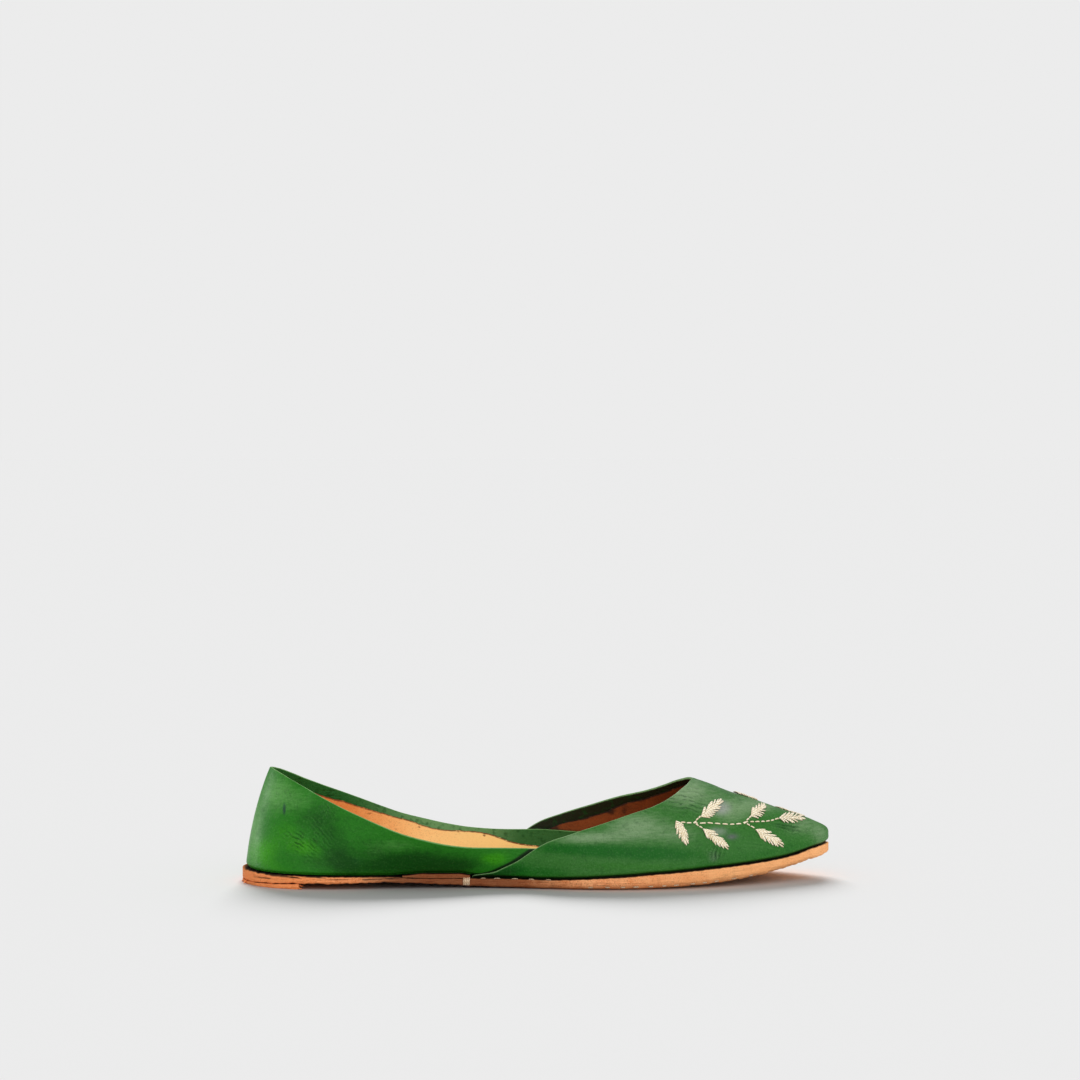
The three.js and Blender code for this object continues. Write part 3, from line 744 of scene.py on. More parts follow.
# %% Quarter piece
QUARTER_PATCHES = {
    "dark": [
        (-92, 30, 7, 8, 0.50), (-95, 11, 7, 4, 0.35), (-86, 22, 7, 9, 0.45), (-84, 13, 7, 5, 0.55),
        (-60, 10.0, 20, 5.0, 1.00), (-38, 8.5, 14, 3.6, 0.80), (-70, 18, 9, 5, 0.40),
        (-100, 28, 6, 5, 0.30), (-30, 12, 8, 3, 0.35), (-79, 8, 8, 3, 0.40), (-50, 14, 14, 4, 0.45),
    ],
    "bright": [
        (-117, 13, 7, 6.0, 0.80), (-98.5, 17, 5.5, 3.6, 0.85), (-106, 24, 9, 4.5, 0.45),
        (-92, 14, 3.5, 4, 0.30), (-19, 12.5, 7, 3.6, 0.85), (-108, 8, 9, 3, 0.35),
        (-88, 33, 3, 4, 0.25), (-110, 18, 8, 4, 0.30),
    ],
    # Bloom: burnish, and at the heel's back and top a painted highlight along its edge.
    "bloom_and_highlight": [
        (-110, 38, 9, 9, 0.60), (-120, 22, 4, 14, 0.60), (-98, 36, 6, 5, 0.30),
        (-60, 19, 12, 3.4, 0.35), (-78, 26, 6, 5, 0.15), (-70, 14, 5, 5, 0.18), (-124, 12, 2, 9, 0.40),
    ],
    "blue": [(-106.8, 32.2, 0.75, 2.6, 1.0), (-108.6, 33, 0.5, 2.0, 0.4), (-76, 12, 5, 4, 0.30)],
    "bruise": [(-106.7, 31.4, 0.45, 1.6, 0.9)],
    "scratch": [
        (-100, 18, 8, 5, 1.0), (-88, 33, 4, 4, 0.9), (-104, 36, 5, 7, 0.5), (-96, 26, 6, 5, 0.5),
    ],
}
QUARTER_FOLDS = [
    (-99, 18.5, -34, 7.5, 4.0, 1.60, 1.00), (-88, 33, -54, 3.5, 2.0, 1.40, 0.60),
    (-104, 36, -70, 5.0, 3.0, 1.80, 0.40), (-92, 24, -48, 6.5, 4.0, 1.60, 0.75),
]

points, faces = shell(outer, inner)
x, z = points[:, 0], points[:, 2]
behind = np.interp(z, *vamp_edge) - x
quarter_masks = {**patches(x, z, QUARTER_PATCHES), **folds(x, z, QUARTER_FOLDS)}
# Painted shade, with some dark dye, on the quarter beside the vamp's rear edge, below 18 mm.
quarter_masks["shade"] = smoothstep(-3.0, 0.5, -np.abs(behind) + 1.0) * (z < 18)
quarter_masks["crease_shade"] = 0 * x
quarter_masks["cut"], quarter_masks["within"] = pared(from_cut, 0.05, 0.32), hidden_side(points)
quarter = build("quarter_skin", points, faces, "quarter", quarter_masks)

# %% [markdown]
# The lining's top line lies 2 to 5 mm under the rim. From 21 mm behind the middle of the shoe it
# turns down with a kink, up to 9 mm under the rim, so the wings' upper part is unlined, as on the
# real shoe.

# %% Quarter lining
LINING_GAP = 0.06
LINING_DROP = [
    (-125, 5.0), (-100, 5.0), (-88, 4.7), (-84, 4.1), (-76, 3.9), (-71, 3.5), (-62, 2.9),
    (-54, 2.6), (-49, 3.3), (-43, 3.5), (-37, 3.0), (-31, 2.2), (-25, 1.9), (-20.5, 2.2),
    (-15, 3.7), (-10, 5.4), (-6, 6.3), (0, 7.1), (8, 8.0), (24, 8.6),
]
drop = level_curve(*np.array(LINING_DROP).T)


def lining_top(x):
    """Rim height less the drop, ragged by a fifth of a millimetre, and always over the seat."""
    ragged = 0.16 * wander(x, [1.7, 2.9, 4.7, 8.3], 12)
    return np.maximum(rim_height(x) - drop(x) + ragged, seat(x) + 0.8)


lining_core = -(QUARTER_SKIN + LINING_GAP + QUARTER_LINING / 2)
outer, inner, from_cut = quarter_walls(lining_top, lining_core, QUARTER_LINING, faint_waves)
points, faces = shell(outer, inner)
dyed = spots(points[:, 0], points[:, 2], [
    (-21.5, 14.2, 0.6, 0.5, 1), (-50, 17.6, 0.7, 0.5, 1), (-60, 17, 0.5, 0.5, 0.7),
    (-33, 15.6, 0.9, 0.4, 0.8), (-72, 24.0, 3.0, 0.5, 0.5), (-84, 30.0, 2.0, 0.6, 0.5),
    (-45, 19.5, 1.6, 0.35, 0.8),
])
# Painted light: the quarter's lining grows paler from the heel forward.
wear_and_light = smoothstep(-100, -20, points[:, 0])
lining_masks = {"cut": pared(from_cut, 0.3, 0.75), "dye": dyed, "wear_and_light": wear_and_light}
build("quarter_lining", points, faces, None, lining_masks)

# %% [markdown]
# ## The sole
# The sole, the lift under the heel, the waist's layer and the insole are plates of thick
# vegetable-tanned leather, cut by hand with a knife. Their edges show the leather's layers: fine
# ridges that run along the edge, small nicks and a ragged lower line. Each plate is strips of
# surface, top, bottom, two edges and any cut ends, all from one profile carried along the outline.

# %% Plates of leather
def clean(points):
    """No dirt."""
    return 0 * points[:, 0]


def plate(name, turns, profile, relief, across=24, caps=True, shape=None, trodden=clean):
    """A plate between two turns. The profile gives, for each station, distances inward and heights
    from the top's edge to the bottom's. Relief pushes the edges outward by (x, z, side), but not
    where they meet on the middle plane. Shape moves all points at the end, and trodden gives the
    share of dirt a foot has left."""
    inward, height = profile(turns)
    # Grime and painted shade: the top's inner edge, which shows in the gap under the upper, and the edges'
    # nicks and cracks.
    ledge_grime_and_shade = smoothstep(0.2, 1.6, inward) * (np.arange(inward.shape[1]) < 5)
    edges, crevice_grime_and_shade = [], []
    for side in (-1.0, 1.0):
        x, y = edge_point(turns[:, None], inward)
        z = height(x)
        pushed = relief(x, z, side) * smoothstep(0.0, 2.0, y)
        x, y = edge_point(turns[:, None], inward - pushed)
        edges.append(np.stack([x, np.maximum(y, 0) * side, z], -1))
        crevice_grime_and_shade.append(np.clip(ledge_grime_and_shade + 0.9 * smoothstep(0.12, 0.50, -pushed), 0, 1))
    near, far = edges
    c = np.linspace(0, 1, across + 1)[:, None]

    def span(left, right):
        """Points straight across from one edge to the other."""
        return left[:, None] * (1 - c) + right[:, None] * c

    # The top face is all grime and painted shade, so the ledge shows near black under the upper.
    strips = [
        (span(near[:, 0], far[:, 0]), 1.0, False), (span(near[:, -1], far[:, -1]), 0.0, True),
        (far, crevice_grime_and_shade[1], False), (near, crevice_grime_and_shade[0], True),
    ]
    if caps:
        strips += [(span(near[-1], far[-1]), 0.0, False), (span(near[0], far[0]), 0.0, True)]
    points, faces, grime_and_shade, count = [], [], [], 0
    for grid, grime_and_shade_share, flip in strips:
        rows, columns = grid.shape[:2]
        faces.append(quads(rows, columns, count, flip))
        points.append(grid.reshape(-1, 3))
        grime_and_shade.append(np.broadcast_to(grime_and_shade_share, (rows, columns)).ravel())
        count += rows * columns
    points, faces = np.concatenate(points), np.concatenate(faces)
    points = shape(points) if shape else points
    lowest = 1 - smoothstep(0, 1.2, np.abs(points[:, 2] - underside(points[:, 0])))
    masks = {"wear_and_light": lowest, "grime_and_shade": np.concatenate(grime_and_shade), "dye": trodden(points)}
    return build(name, points, faces, name.replace("_leather", ""), masks)


def fibres(x, z, side):
    """Layers of the cut edge: ridges along the edge 0.8 and 1.3 mm apart that come and go, and
    slower hand-cut waves, together up to 0.4 millimetres."""
    seed = 20 if side < 0 else 40
    layers = wander(z + 0.25 * wander(x, [9, 17, 31], seed), [0.8, 1.3, 2.1], seed + 1)
    shown = 0.5 + 0.5 * wander(x, [7, 12, 23], seed + 2)
    nicks = wander(x, [2.3, 3.7, 5.9], seed + 3)
    return 0.14 * layers * shown + 0.16 * wander(x, [11, 19, 37], seed + 4) + 0.10 * nicks


def arc_profile(turns):
    """The outsole's edge: the top rounded over 0.4 mm, an upright part, and the lower edge's arc:
    inward = width (1 - cos a), height = under + tall (1 - sin a)."""
    width = (round_share(turns) * SOLE_ROUNDING)[:, None]
    a = np.linspace(0, RIGHT_ANGLE, 11)[None, :]
    over = np.array([2.4, 1.2, 0.4, 0.12, 0.0])[None, :]
    flat = np.zeros((len(turns), 6))
    inward = np.concatenate([over + 0 * width, flat, width * (1 - np.cos(a)), width + [[0.8, 2.0]]], 1)

    def height(x):
        floor = underside(x)
        top = sole_top(x)
        tall = np.minimum(ROUNDING_SLOPE * width, EDGE_SHARE * (top - floor))
        z = np.empty_like(x)
        z[:, :5] = top[:, :5] - np.array([0, 0, 0, 0.12, 0.4])
        upright = np.linspace(0, 1, 7)[1:]
        z[:, 5:11] = ((top - 0.4)[:, 5:11]) * (1 - upright) + (floor + tall)[:, 5:11] * upright
        z[:, 11:22] = (floor + tall)[:, 11:22] - tall[:, 11:22] * np.sin(a)
        z[:, 22:] = floor[:, 22:]
        return z
    return inward, height


SOLE_CRACKS = [
    (-125, 6.1, -110, 5.3, 0.34, -0.80, 0.3), (-113, 5.2, -98.6, 4.6, 0.32, -0.80, 0.2),
    (-122, 4.1, -111, 3.5, 0.30, -0.60, 0.1), (-100.0, 5.3, -88.0, 4.7, 0.28, -0.55, 0.2),
    (-92, 3.9, -78, 4.0, 0.24, -0.40, 0.2), (-66, 4.6, -48, 4.5, 0.22, -0.45, -0.2),
    (-76, 4.0, -60, 4.1, 0.22, -0.35, 0.1), (10, 2.4, 26, 2.6, 0.20, -0.25, 0.2),
    (-118.0, 6.0, -109.0, 5.6, 0.22, -0.35, 0.1),
]


def sole_relief(x, z, side):
    """Fibres, with the long cracks in the near edge of the heel."""
    return fibres(x, z, side) + furrows(x, z, SOLE_CRACKS) * (side < 0)


def sole_shape(points):
    """Lower edges waver by a third of a millimetre where they are off the floor. The upper face is
    worn down unevenly, by up to a quarter, and by up to 0.7 round the heel's back."""
    x, y, z = points.T
    free = smoothstep(0.1, 1.5, z) * (1 - smoothstep(0.0, 2.5, z - underside(x)))
    ragged = 0.34 * wander(x + 0.3 * y, [3.1, 5.3, 9.7, 14.0], 31) * free
    upper_face = smoothstep(-1.0, 0.0, z - sole_top(x))
    depth = 0.25 + 0.45 * (1 - smoothstep(-121, -106, x))
    wear_and_light = -depth * (1 + wander(x - 0.2 * y, [2.3, 3.9, 6.7], 32)) / 2
    return np.stack([x, y, z + ragged + wear_and_light * upper_face], -1)


outsole = plate("outsole_leather", np.linspace(0, 1, 520), arc_profile,
                sole_relief, caps=False, shape=sole_shape)


# %% Heel lift, waist layer and insole
def flat_profile(low, high, rim=0.25, rows=7):
    """A plate's edge from (1.5, high) over a rounding of the rim's size down to (1.5, low)."""
    def profile(turns):
        a = np.linspace(0, RIGHT_ANGLE, 4)
        out, down = rim * (1 - np.sin(a)), rim * (1 - np.cos(a))
        inward = np.concatenate([[1.5, 0.7], out, np.zeros(rows), down, [0.7, 1.5]])
        drop = np.concatenate([[0, 0], down, np.full(rows, rim), np.zeros(6)])
        share = np.concatenate([np.zeros(6), np.linspace(0, 1, rows + 2)[1:-1], np.ones(6)])
        rise = np.concatenate([np.zeros(6 + rows), out, [0, 0]])

        def height(x):
            top, bottom = high(x), low(x)
            upright = (top - rim) * (1 - share) + (bottom + rim) * share
            return np.where(share == 0, top - drop, np.where(share == 1, bottom + rise, upright))
        return np.broadcast_to(inward, (len(turns), len(inward))), height
    return profile


def ragged_front(front, reach, size, seed):
    """Moves a plate's front cut by wander(y) millimetres, fading backwards over the reach."""
    def shape(points):
        x, y, z = points.T
        near_front = smoothstep(front - reach, front, x)
        torn = wander(y, [3.0, 5.2, 8.9, 14.3], seed) + 0.15 * wander(y + 3 * z, [1.7, 2.6], seed + 1)
        return np.stack([x + near_front * size * torn, y, z], -1)
    return shape


def lift_top(x):
    """The underside less a gap, wavering by a tenth of a millimetre."""
    return underside(x) - GAP + 0.10 * wander(x, [4, 7, 13], 33)


def stations(start, end, count):
    """Turns between two shares of the length, close together at the front."""
    return turn_at(start) + (turn_at(end) - turn_at(start)) * np.linspace(0, 1, count) ** 0.8


def ground(x):
    """The floor's height."""
    return 0 * x


def layer_bottom(x):
    """Half a gap over the sole, so that the layer seems to lie on it."""
    return sole_top(x) + GAP / 2


def layer_top(x):
    """A gap and the layer's thickness over the sole."""
    return sole_top(x) + GAP + layer_share(share_of(x)) * LAYER_THICKNESS


lift_front = LENGTH * (LIFT_FRONT - 0.5)
layer_front = LENGTH * (LAYER_FRONT - 0.5)
heel_lift = plate("heel_lift_leather", stations(0, LIFT_FRONT, 150), flat_profile(ground, lift_top),
                  fibres, across=70, shape=ragged_front(lift_front, 6, 1.3, 34))
waist_layer = plate("waist_layer_leather", stations(LAYER_BACK, LAYER_FRONT, 90),
                    flat_profile(layer_bottom, layer_top, 0.15),
                    fibres, across=40, shape=ragged_front(layer_front, 3, 0.35, 36))

SNUG = 0.45


def insole_shape(points):
    """A foot has pressed shallow hollows into the upper face, at the heel, the ball and the toes."""
    x, y, z = points.T
    top = z > seat(x) + INSOLE_THICKNESS / 2
    hollow = spots(x, y, [(-92, 0, 22, 17, 0.35), (38, 0, 30, 24, 0.30), (85, 0, 12, 12, 0.15)])
    return np.stack([x, y, z - hollow * top], -1)


def insole_top(x):
    """Its thickness over the seat."""
    return seat(x) + INSOLE_THICKNESS


def insole_profile(turns):
    """A flat profile set inward by the margin, the quarter's wall and its own margin, less SNUG,
    because an insole of soft leather spreads until it almost meets the lining."""
    inward, height = flat_profile(seat, insole_top, 0.3)(turns)
    setback = margin_share(turns) * SOLE_MARGIN + QUARTER_WALL + INSOLE_MARGIN - SNUG
    return inward + setback[:, None], height


def smooth_edge(x, z, side):
    """No relief."""
    return 0 * x


def footprint(points):
    """Where a foot has darkened the insole: heel, ball, and the toes' ends."""
    return spots(points[:, 0], points[:, 1], [
        (-94, 0, 20, 15, 0.8), (36, 3, 26, 20, 0.6), (70, 8, 9, 7, 0.5), (74, -4, 8, 6, 0.4),
        (-30, 10, 30, 9, 0.25), (84, 2, 8, 8, 0.4),
    ])


insole = plate("insole_leather", np.linspace(0, 1, 360), insole_profile,
               smooth_edge, across=60, caps=False, shape=insole_shape, trodden=footprint)

# %% [markdown]
# ## Thread
# The sprig on each side of the vamp is sewn in pale cotton: a stem of running stitches and leaves
# of long satin stitches laid like the ears of wheat. A stitch dips into the leather at both ends
# and stands a little proud between, so it is a flattened tube along a short bowed path. Places on
# the vamp are given as seen square from the side, x along the shoe and z over the floor, and the
# skin's point there is found by a few steps of Newton's method.

# %% Places on the vamp
# Axis that is matched beside x, its sense with the angle, the first angle, and the last one's margin
FROM_SIDE = (2, 1, 0.6, 0.03)
FROM_ABOVE = (1, -1, 1.3, 1e-4)


def vamp_at(x, other, view, side, outward=GAP + VAMP_WALL):
    """Point and normal of the vamp's skin at an x and a height, seen from the side, or at an x and a
    distance from the middle plane, seen from above. Turn and angle are corrected by the misses over
    the slopes, 16 times. From above serves where the sprig climbs over the middle line."""
    axis, sense, first, margin = view
    turn, angle = turn_at(share_of(x)), np.full_like(x, first)
    step = 1e-3
    for _ in range(16):
        here = beside(turn, angle, outward)
        slope = (beside(turn + step, angle, outward)[..., 0] - here[..., 0]) / step
        turn = np.clip(turn + (x - here[..., 0]) / slope, 0.3, 0.995)
        here = beside(turn, angle, outward)
        slope = (beside(turn, angle + sense * step, outward)[..., axis] - here[..., axis]) / step
        miss = (other - here[..., axis]) / np.maximum(slope, 2.0)
        angle = np.clip(angle + sense * np.clip(miss, -0.3, 0.3), 0.02, RIGHT_ANGLE - margin)
    here = beside(turn, angle, outward, side)
    normal = beside(turn, angle, outward + 1.0, side) - here
    return here, normal / np.linalg.norm(normal, axis=-1, keepdims=True)


def tubes(path, normal, half_width, half_height, around=8):
    """Closed tubes along paths (stitch, step, 3): each ring is path + cos(q) w B + sin(q) h N, with
    N the surface's normal and B = T x N, shrinking to points at both ends."""
    along = np.gradient(path, axis=1)
    along /= np.linalg.norm(along, axis=-1, keepdims=True)
    level = np.cross(along, normal)
    level /= np.linalg.norm(level, axis=-1, keepdims=True)
    upright = np.cross(level, along)
    stitches, steps = path.shape[:2]
    t = np.linspace(-1, 1, steps)
    size = np.sqrt(np.maximum(0, 1 - np.abs(t) ** 3.5))[None, :, None, None]
    q = np.linspace(0, 2 * np.pi, around + 1)[None, None, :, None]
    width = np.asarray(half_width)[..., None, None, None] * size
    height = np.asarray(half_height)[..., None, None, None] * size
    sideways, outward = np.cos(q) * width * level[:, :, None], np.sin(q) * height * upright[:, :, None]
    rings = path[:, :, None] + sideways + outward
    rings[:, :, -1] = rings[:, :, 0]
    one = quads(steps, around + 1)
    faces = (one[None] + np.arange(stitches)[:, None, None] * steps * (around + 1)).reshape(-1, 4)
    tone = np.random.default_rng(51).uniform(0, 1, stitches)
    masks = {
        "along": (t * 0.5 + 0.5)[None, :, None], "tone": tone[:, None, None],
        "around": np.linspace(0, 1, around + 1)[None, None, :], "flank": 0.5 - 0.5 * np.sin(q[..., 0]),
    }
    return rings, faces, {name: np.broadcast_to(mask, rings.shape[:3]) for name, mask in masks.items()}


def sew(name, path, normal, half_width, half_height):
    """Tubes as one piece. Half width and half height are one number or one for each stitch."""
    rings, faces, masks = tubes(path, normal, half_width, half_height)
    return build(name, rings, faces, None, masks)


# %% The sprig's drawing
def leaf(base, tip, width, pairs, seed):
    """Starts and ends of a leaf's satin stitches, in millimetres on the side view. Each pair crosses
    the midrib at a share m and ends at 1.3 m + 0.28, at plus or minus the leaf's half width there.
    The last two meet at the tip."""
    random = np.random.default_rng(seed)
    base, tip = np.array(base), np.array(tip)
    along = tip - base
    length = np.hypot(*along)
    across = np.array([-along[1], along[0]]) / length
    m = np.repeat(np.linspace(0, 0.54, pairs), 2)
    hand = np.tile([-1.0, 1.0], pairs)
    reach = 1.3 * m + 0.28 + random.uniform(-0.08, 0.07, len(m))
    spread = np.sin(np.pi * np.clip(reach, 0, 1) ** 0.9) ** 0.6 + 0.10
    start = base + along * m[:, None] - across * (hand * 0.07 * width)[:, None]
    sideways = hand * width / 2 * spread * random.uniform(0.88, 1.1, len(m))
    end = base + along * reach[:, None] + across * sideways[:, None]
    last_start = base + along * np.array([[0.60], [0.66]]) + across * np.array([[-0.25], [0.25]])
    last_end = tip + across * np.array([[-0.5], [0.45]]) + along * np.array([[0.0], [-0.03]])
    return np.concatenate([start, last_start]), np.concatenate([end, last_end])


STEM = [
    (58.4, 26.9, 60.7, 26.8), (61.0, 26.6, 63.3, 26.5), (63.9, 26.7, 66.0, 26.2),
    (66.6, 26.2, 69.6, 26.2), (69.9, 26.3, 72.6, 25.9), (73.2, 25.9, 75.8, 25.5),
    (76.4, 25.5, 79.1, 25.2), (79.8, 25.1, 81.9, 25.1), (82.5, 25.1, 85.0, 25.1),
    (85.6, 25.4, 88.2, 25.7), (88.9, 25.6, 90.7, 25.5), (91.1, 25.5, 93.2, 25.4),
    (93.8, 25.4, 95.5, 25.3), (96.0, 25.3, 97.8, 25.4), (98.3, 25.4, 99.7, 25.6),
    (100.1, 25.7, 102.0, 26.0), (64.0, 26.3, 65.4, 27.2), (86.0, 25.0, 87.6, 25.9),
]
BRANCHLETS = [
    (65.2, 27.4, 66.3, 28.2), (66.4, 28.2, 67.3, 29.0), (64.9, 26.1, 66.2, 25.2),
    (66.4, 25.1, 67.8, 24.3), (87.4, 26.2, 88.6, 27.0), (88.6, 27.0, 89.8, 27.8),
    (87.2, 25.0, 88.7, 24.1), (88.9, 24.0, 90.6, 23.1),
]
NEAR_LEAVES = [
    ((56.6, 27.7), (61.2, 17.8), 4.0, 8, 61), ((67.4, 28.6), (78.2, 34.4), 4.6, 9, 62),
    ((67.8, 24.2), (79.1, 15.6), 3.9, 9, 63), ((89.4, 27.6), (97.4, 31.1), 4.4, 9, 64),
    ((102.0, 26.0), (115.0, 25.1), 3.4, 9, 65), ((90.8, 22.7), (103.6, 15.1), 4.2, 10, 66),
]
FAR_LEAVES = NEAR_LEAVES[:3] + NEAR_LEAVES[5:]
RIDGE_LEAVES = [
    ((84.3, 3.0), (94.8, 0.3), 4.4, 9, 67), ((102.2, 3.2), (115.4, 1.3), 3.6, 9, 68),
]
CLIMBING = [
    (85.2, 26.8, 84.6, 28.6), (84.5, 29.2, 84.1, 31.0), (84.0, 31.6, 83.9, 33.2), (83.9, 33.6, 84.0, 34.8),
    (101.9, 26.5, 101.6, 27.7), (101.6, 28.1, 101.8, 29.0),
]


def laid(start, end, side, lift, steps=9):
    """Paths on the vamp from start to end, straight as seen from the side, or from above if no side
    is given. Their height over the skin is lift sin(pi t)^0.45, less a twelfth at the ends, where
    the stitch dips in."""
    t = np.linspace(0, 1, steps)[None, :, None]
    x, other = np.moveaxis(start[:, None] * (1 - t) + end[:, None] * t, -1, 0)
    if side:
        on, normal = vamp_at(x, other, FROM_SIDE, side)
    else:
        on, normal = vamp_at(x, np.abs(other), FROM_ABOVE, np.where(other < 0, -1.0, 1.0))
    rise = lift * np.sin(np.pi * t) ** 0.45 - 0.08 * (1 - np.sin(np.pi * t) ** 0.4)
    return on + normal * rise, normal


def satin(leaves, side, random):
    """Paths and normals of all satin stitches of some leaves, each lifted a little differently."""
    starts, ends = zip(*(leaf(*row) for row in leaves))
    start, end = np.concatenate(starts), np.concatenate(ends)
    lift = 0.14 + 0.30 * random.uniform(0, 1, len(start))
    return laid(start, end, side, lift[:, None, None])


def sprig(name, side, leaves, ridge_leaves, more_stem):
    """One branch: satin leaves, and stem and branchlets of thicker running stitches."""
    random = np.random.default_rng(71 if side < 0 else 72)
    path, normal = satin(leaves, side, random)
    if ridge_leaves:
        over_path, over_normal = satin(ridge_leaves, None, random)
        path, normal = np.concatenate([path, over_path]), np.concatenate([normal, over_normal])
    width = 0.39 + 0.06 * random.uniform(-1, 1, len(path))
    made = sew(name + "_leaves", path, normal, width, 0.34)
    rows = np.array(STEM + BRANCHLETS + more_stem)
    path, normal = laid(rows[:, :2], rows[:, 2:], side, 0.22)
    return [made, sew(name + "_stem", path, normal, 0.35, 0.28)]


embroidery = sprig("near_sprig", -1.0, NEAR_LEAVES, [], [])
embroidery += sprig("far_sprig", 1.0, FAR_LEAVES, RIDGE_LEAVES, CLIMBING)

# %% [markdown]
# Three kinds of stitches hold the sole: short pale ones on the ledge at the vamp's rear corners,
# a row through the rounded lower edge of the forepart, and one wrap of loose cotton over the edge
# at the waist. All lie on the sole's own profile.

# %% Stitches of the sole
def on_edge(x, share, side, out=0.0):
    """Point and normal of the sole's edge: share 0..1 runs over the ledge, 1..2 down the upright,
    2..3 round the lower arc, and out moves it off the surface."""
    turn = turn_at(share_of(x))
    width = round_share(turn) * SOLE_ROUNDING
    floor, top = underside(x), sole_top(x)
    tall = np.minimum(ROUNDING_SLOPE * width, EDGE_SHARE * (top - floor))
    margin = margin_share(turn) * SOLE_MARGIN
    a = np.clip(share - 2, 0, 1) * RIGHT_ANGLE
    inward = margin * (1 - np.clip(share, 0, 1)) + width * (1 - np.cos(a))
    height = top - (top - floor - tall) * np.clip(share - 1, 0, 1) - tall * np.sin(a)
    sideways = np.where(share < 1, smoothstep(0.8, 1.0, share), np.cos(a))
    upward = np.where(share < 1, 1 - smoothstep(0.9, 1.2, share), -np.sin(a))
    base = np.stack(edge_point(turn, inward), -1)
    away = np.stack(edge_point(turn, inward - 1), -1) - base
    normal = np.stack([away[..., 0] * sideways, away[..., 1] * sideways, upward], -1)
    normal /= np.linalg.norm(normal, axis=-1, keepdims=True)
    point = np.stack([base[..., 0], base[..., 1], height], -1) + normal * out
    flip = np.array([1.0, side, 1.0])
    return point * flip, normal * flip


def row_of_stitches(starts, ends, share, side, lift, steps=7):
    """Stitches along the edge at one share of its profile."""
    t = np.linspace(0, 1, steps)
    x = np.array(starts)[:, None] * (1 - t) + np.array(ends)[:, None] * t
    rise = lift * np.sin(np.pi * t) ** 0.6 - 0.08
    point, normal = on_edge(x, share + 0 * x, side)
    return point + normal * rise[:, None], normal


LEDGE_STITCHES = [(-25.1, -22.8), (-19.7, -16.6), (-12.4, -9.3), (-5.4, -2.8), (1.7, 4.2)]
EDGE_STITCHES = [
    (19.0, 21.4), (26.2, 28.4), (32.6, 34.8), (37.8, 40.6), (44.2, 46.6), (50.2, 52.2),
    (55.0, 57.6), (62.2, 64.4), (67.5, 69.6), (72.6, 74.7), (80.0, 82.6), (87.8, 89.8),
]
# Name, starts and ends, share of the profile, lift, half width, half height, shift on the far side
SEAMS = [
    ("ledge", LEDGE_STITCHES, 0.84, 0.22, 0.34, 0.24, 1.1),
    ("edge", EDGE_STITCHES, 2.42, 0.20, 0.42, 0.26, 0.8),
]
for label, side in (("near", -1.0), ("far", 1.0)):
    for seam, rows, share, lift, wide, tall, far_shift in SEAMS:
        starts, ends = np.array(rows).T + (far_shift if side > 0 else 0.0)
        path, normal = row_of_stitches(starts, ends, share, side, lift)
        sew(f"{label}_{seam}_stitches", path, normal, wide, tall)

x = np.array([-31.9, -31.2, -30.5, -29.8])[:, None] + np.array([0.15, 0.1, 0.0, -0.05, -0.1, 0.05])[None, :]
share = np.array([0.35, 0.85, 1.15, 1.6, 2.1, 2.9])[None, :] + 0 * x
wrap, normal = on_edge(x, share, -1.0, 0.22)
sew("waist_wrap", wrap, normal, 0.38, 0.30)

# %% Loose fibres of the heel lift
FIBRES = [
    (-124.2, -4.0, 1.6, -125.0, -5.2, 0.3, 0.8), (-123.6, -7.5, 1.4, -123.8, -9.0, 0.3, -0.6),
    (-122.8, -10.0, 2.0, -124.2, -11.0, 0.4, 0.5), (-102.0, -26.0, 1.9, -100.2, -26.6, 0.5, 0.7),
    (-101.2, -25.6, 1.2, -98.9, -26.2, 0.25, -0.5), (-101.0, -25.0, 2.0, -98.6, -25.8, 1.2, 0.5),
    (-100.8, 25.4, 1.8, -98.9, 26.0, 0.4, -0.6), (-100.6, 12.0, 1.5, -98.8, 13.0, 0.3, 0.5),
]


def hanging(rows, steps=9):
    """Bowed paths (x0, y0, z0, x1, y1, z1, bow): straight from start to end, with the bow times
    sin(pi t) added across and half of it downward, held a quarter of a millimetre over the floor."""
    rows = np.array(rows)
    t = np.linspace(0, 1, steps)[None, :, None]
    path = rows[:, None, :3] * (1 - t) + rows[:, None, 3:6] * t
    bend = rows[:, None, 6] * np.sin(np.pi * t[..., 0])
    path = path + np.stack([0 * bend, bend, -0.5 * np.abs(bend)], -1)
    path[..., 2] = np.maximum(path[..., 2], 0.25)
    return path, np.broadcast_to([0.0, 0.0, 1.0], path.shape)


path, normal = hanging(FIBRES)
loose = sew("loose_fibres", path, normal, 0.34, 0.16)

# %% [markdown]
# ## Writing shader maths as Python
# A material's node tree is arithmetic on sockets. One small class wraps an output socket, so that
# sums and products of numbers add Math nodes, and one method adds every other kind of node. Colours
# are mixed with Mix nodes. Sizes of patterns are written as features per metre, because materials
# read Object coordinates, which are metres here.

# %% Sockets with arithmetic
class Signal:
    """One output socket of a material. Arithmetic with numbers and other signals adds Math nodes."""

    def __init__(self, finish, socket):
        self.finish = finish
        self.socket = socket

    def math(self, operation, first, second):
        return self.finish.node("ShaderNodeMath", {"operation": operation}, {0: first, 1: second})

    def __add__(self, other):
        return self.math("ADD", self, other)

    def __radd__(self, other):
        return self.math("ADD", other, self)

    def __sub__(self, other):
        return self.math("SUBTRACT", self, other)

    def __rsub__(self, other):
        return self.math("SUBTRACT", other, self)

    def __mul__(self, other):
        return self.math("MULTIPLY", self, other)

    def __rmul__(self, other):
        return self.math("MULTIPLY", other, self)


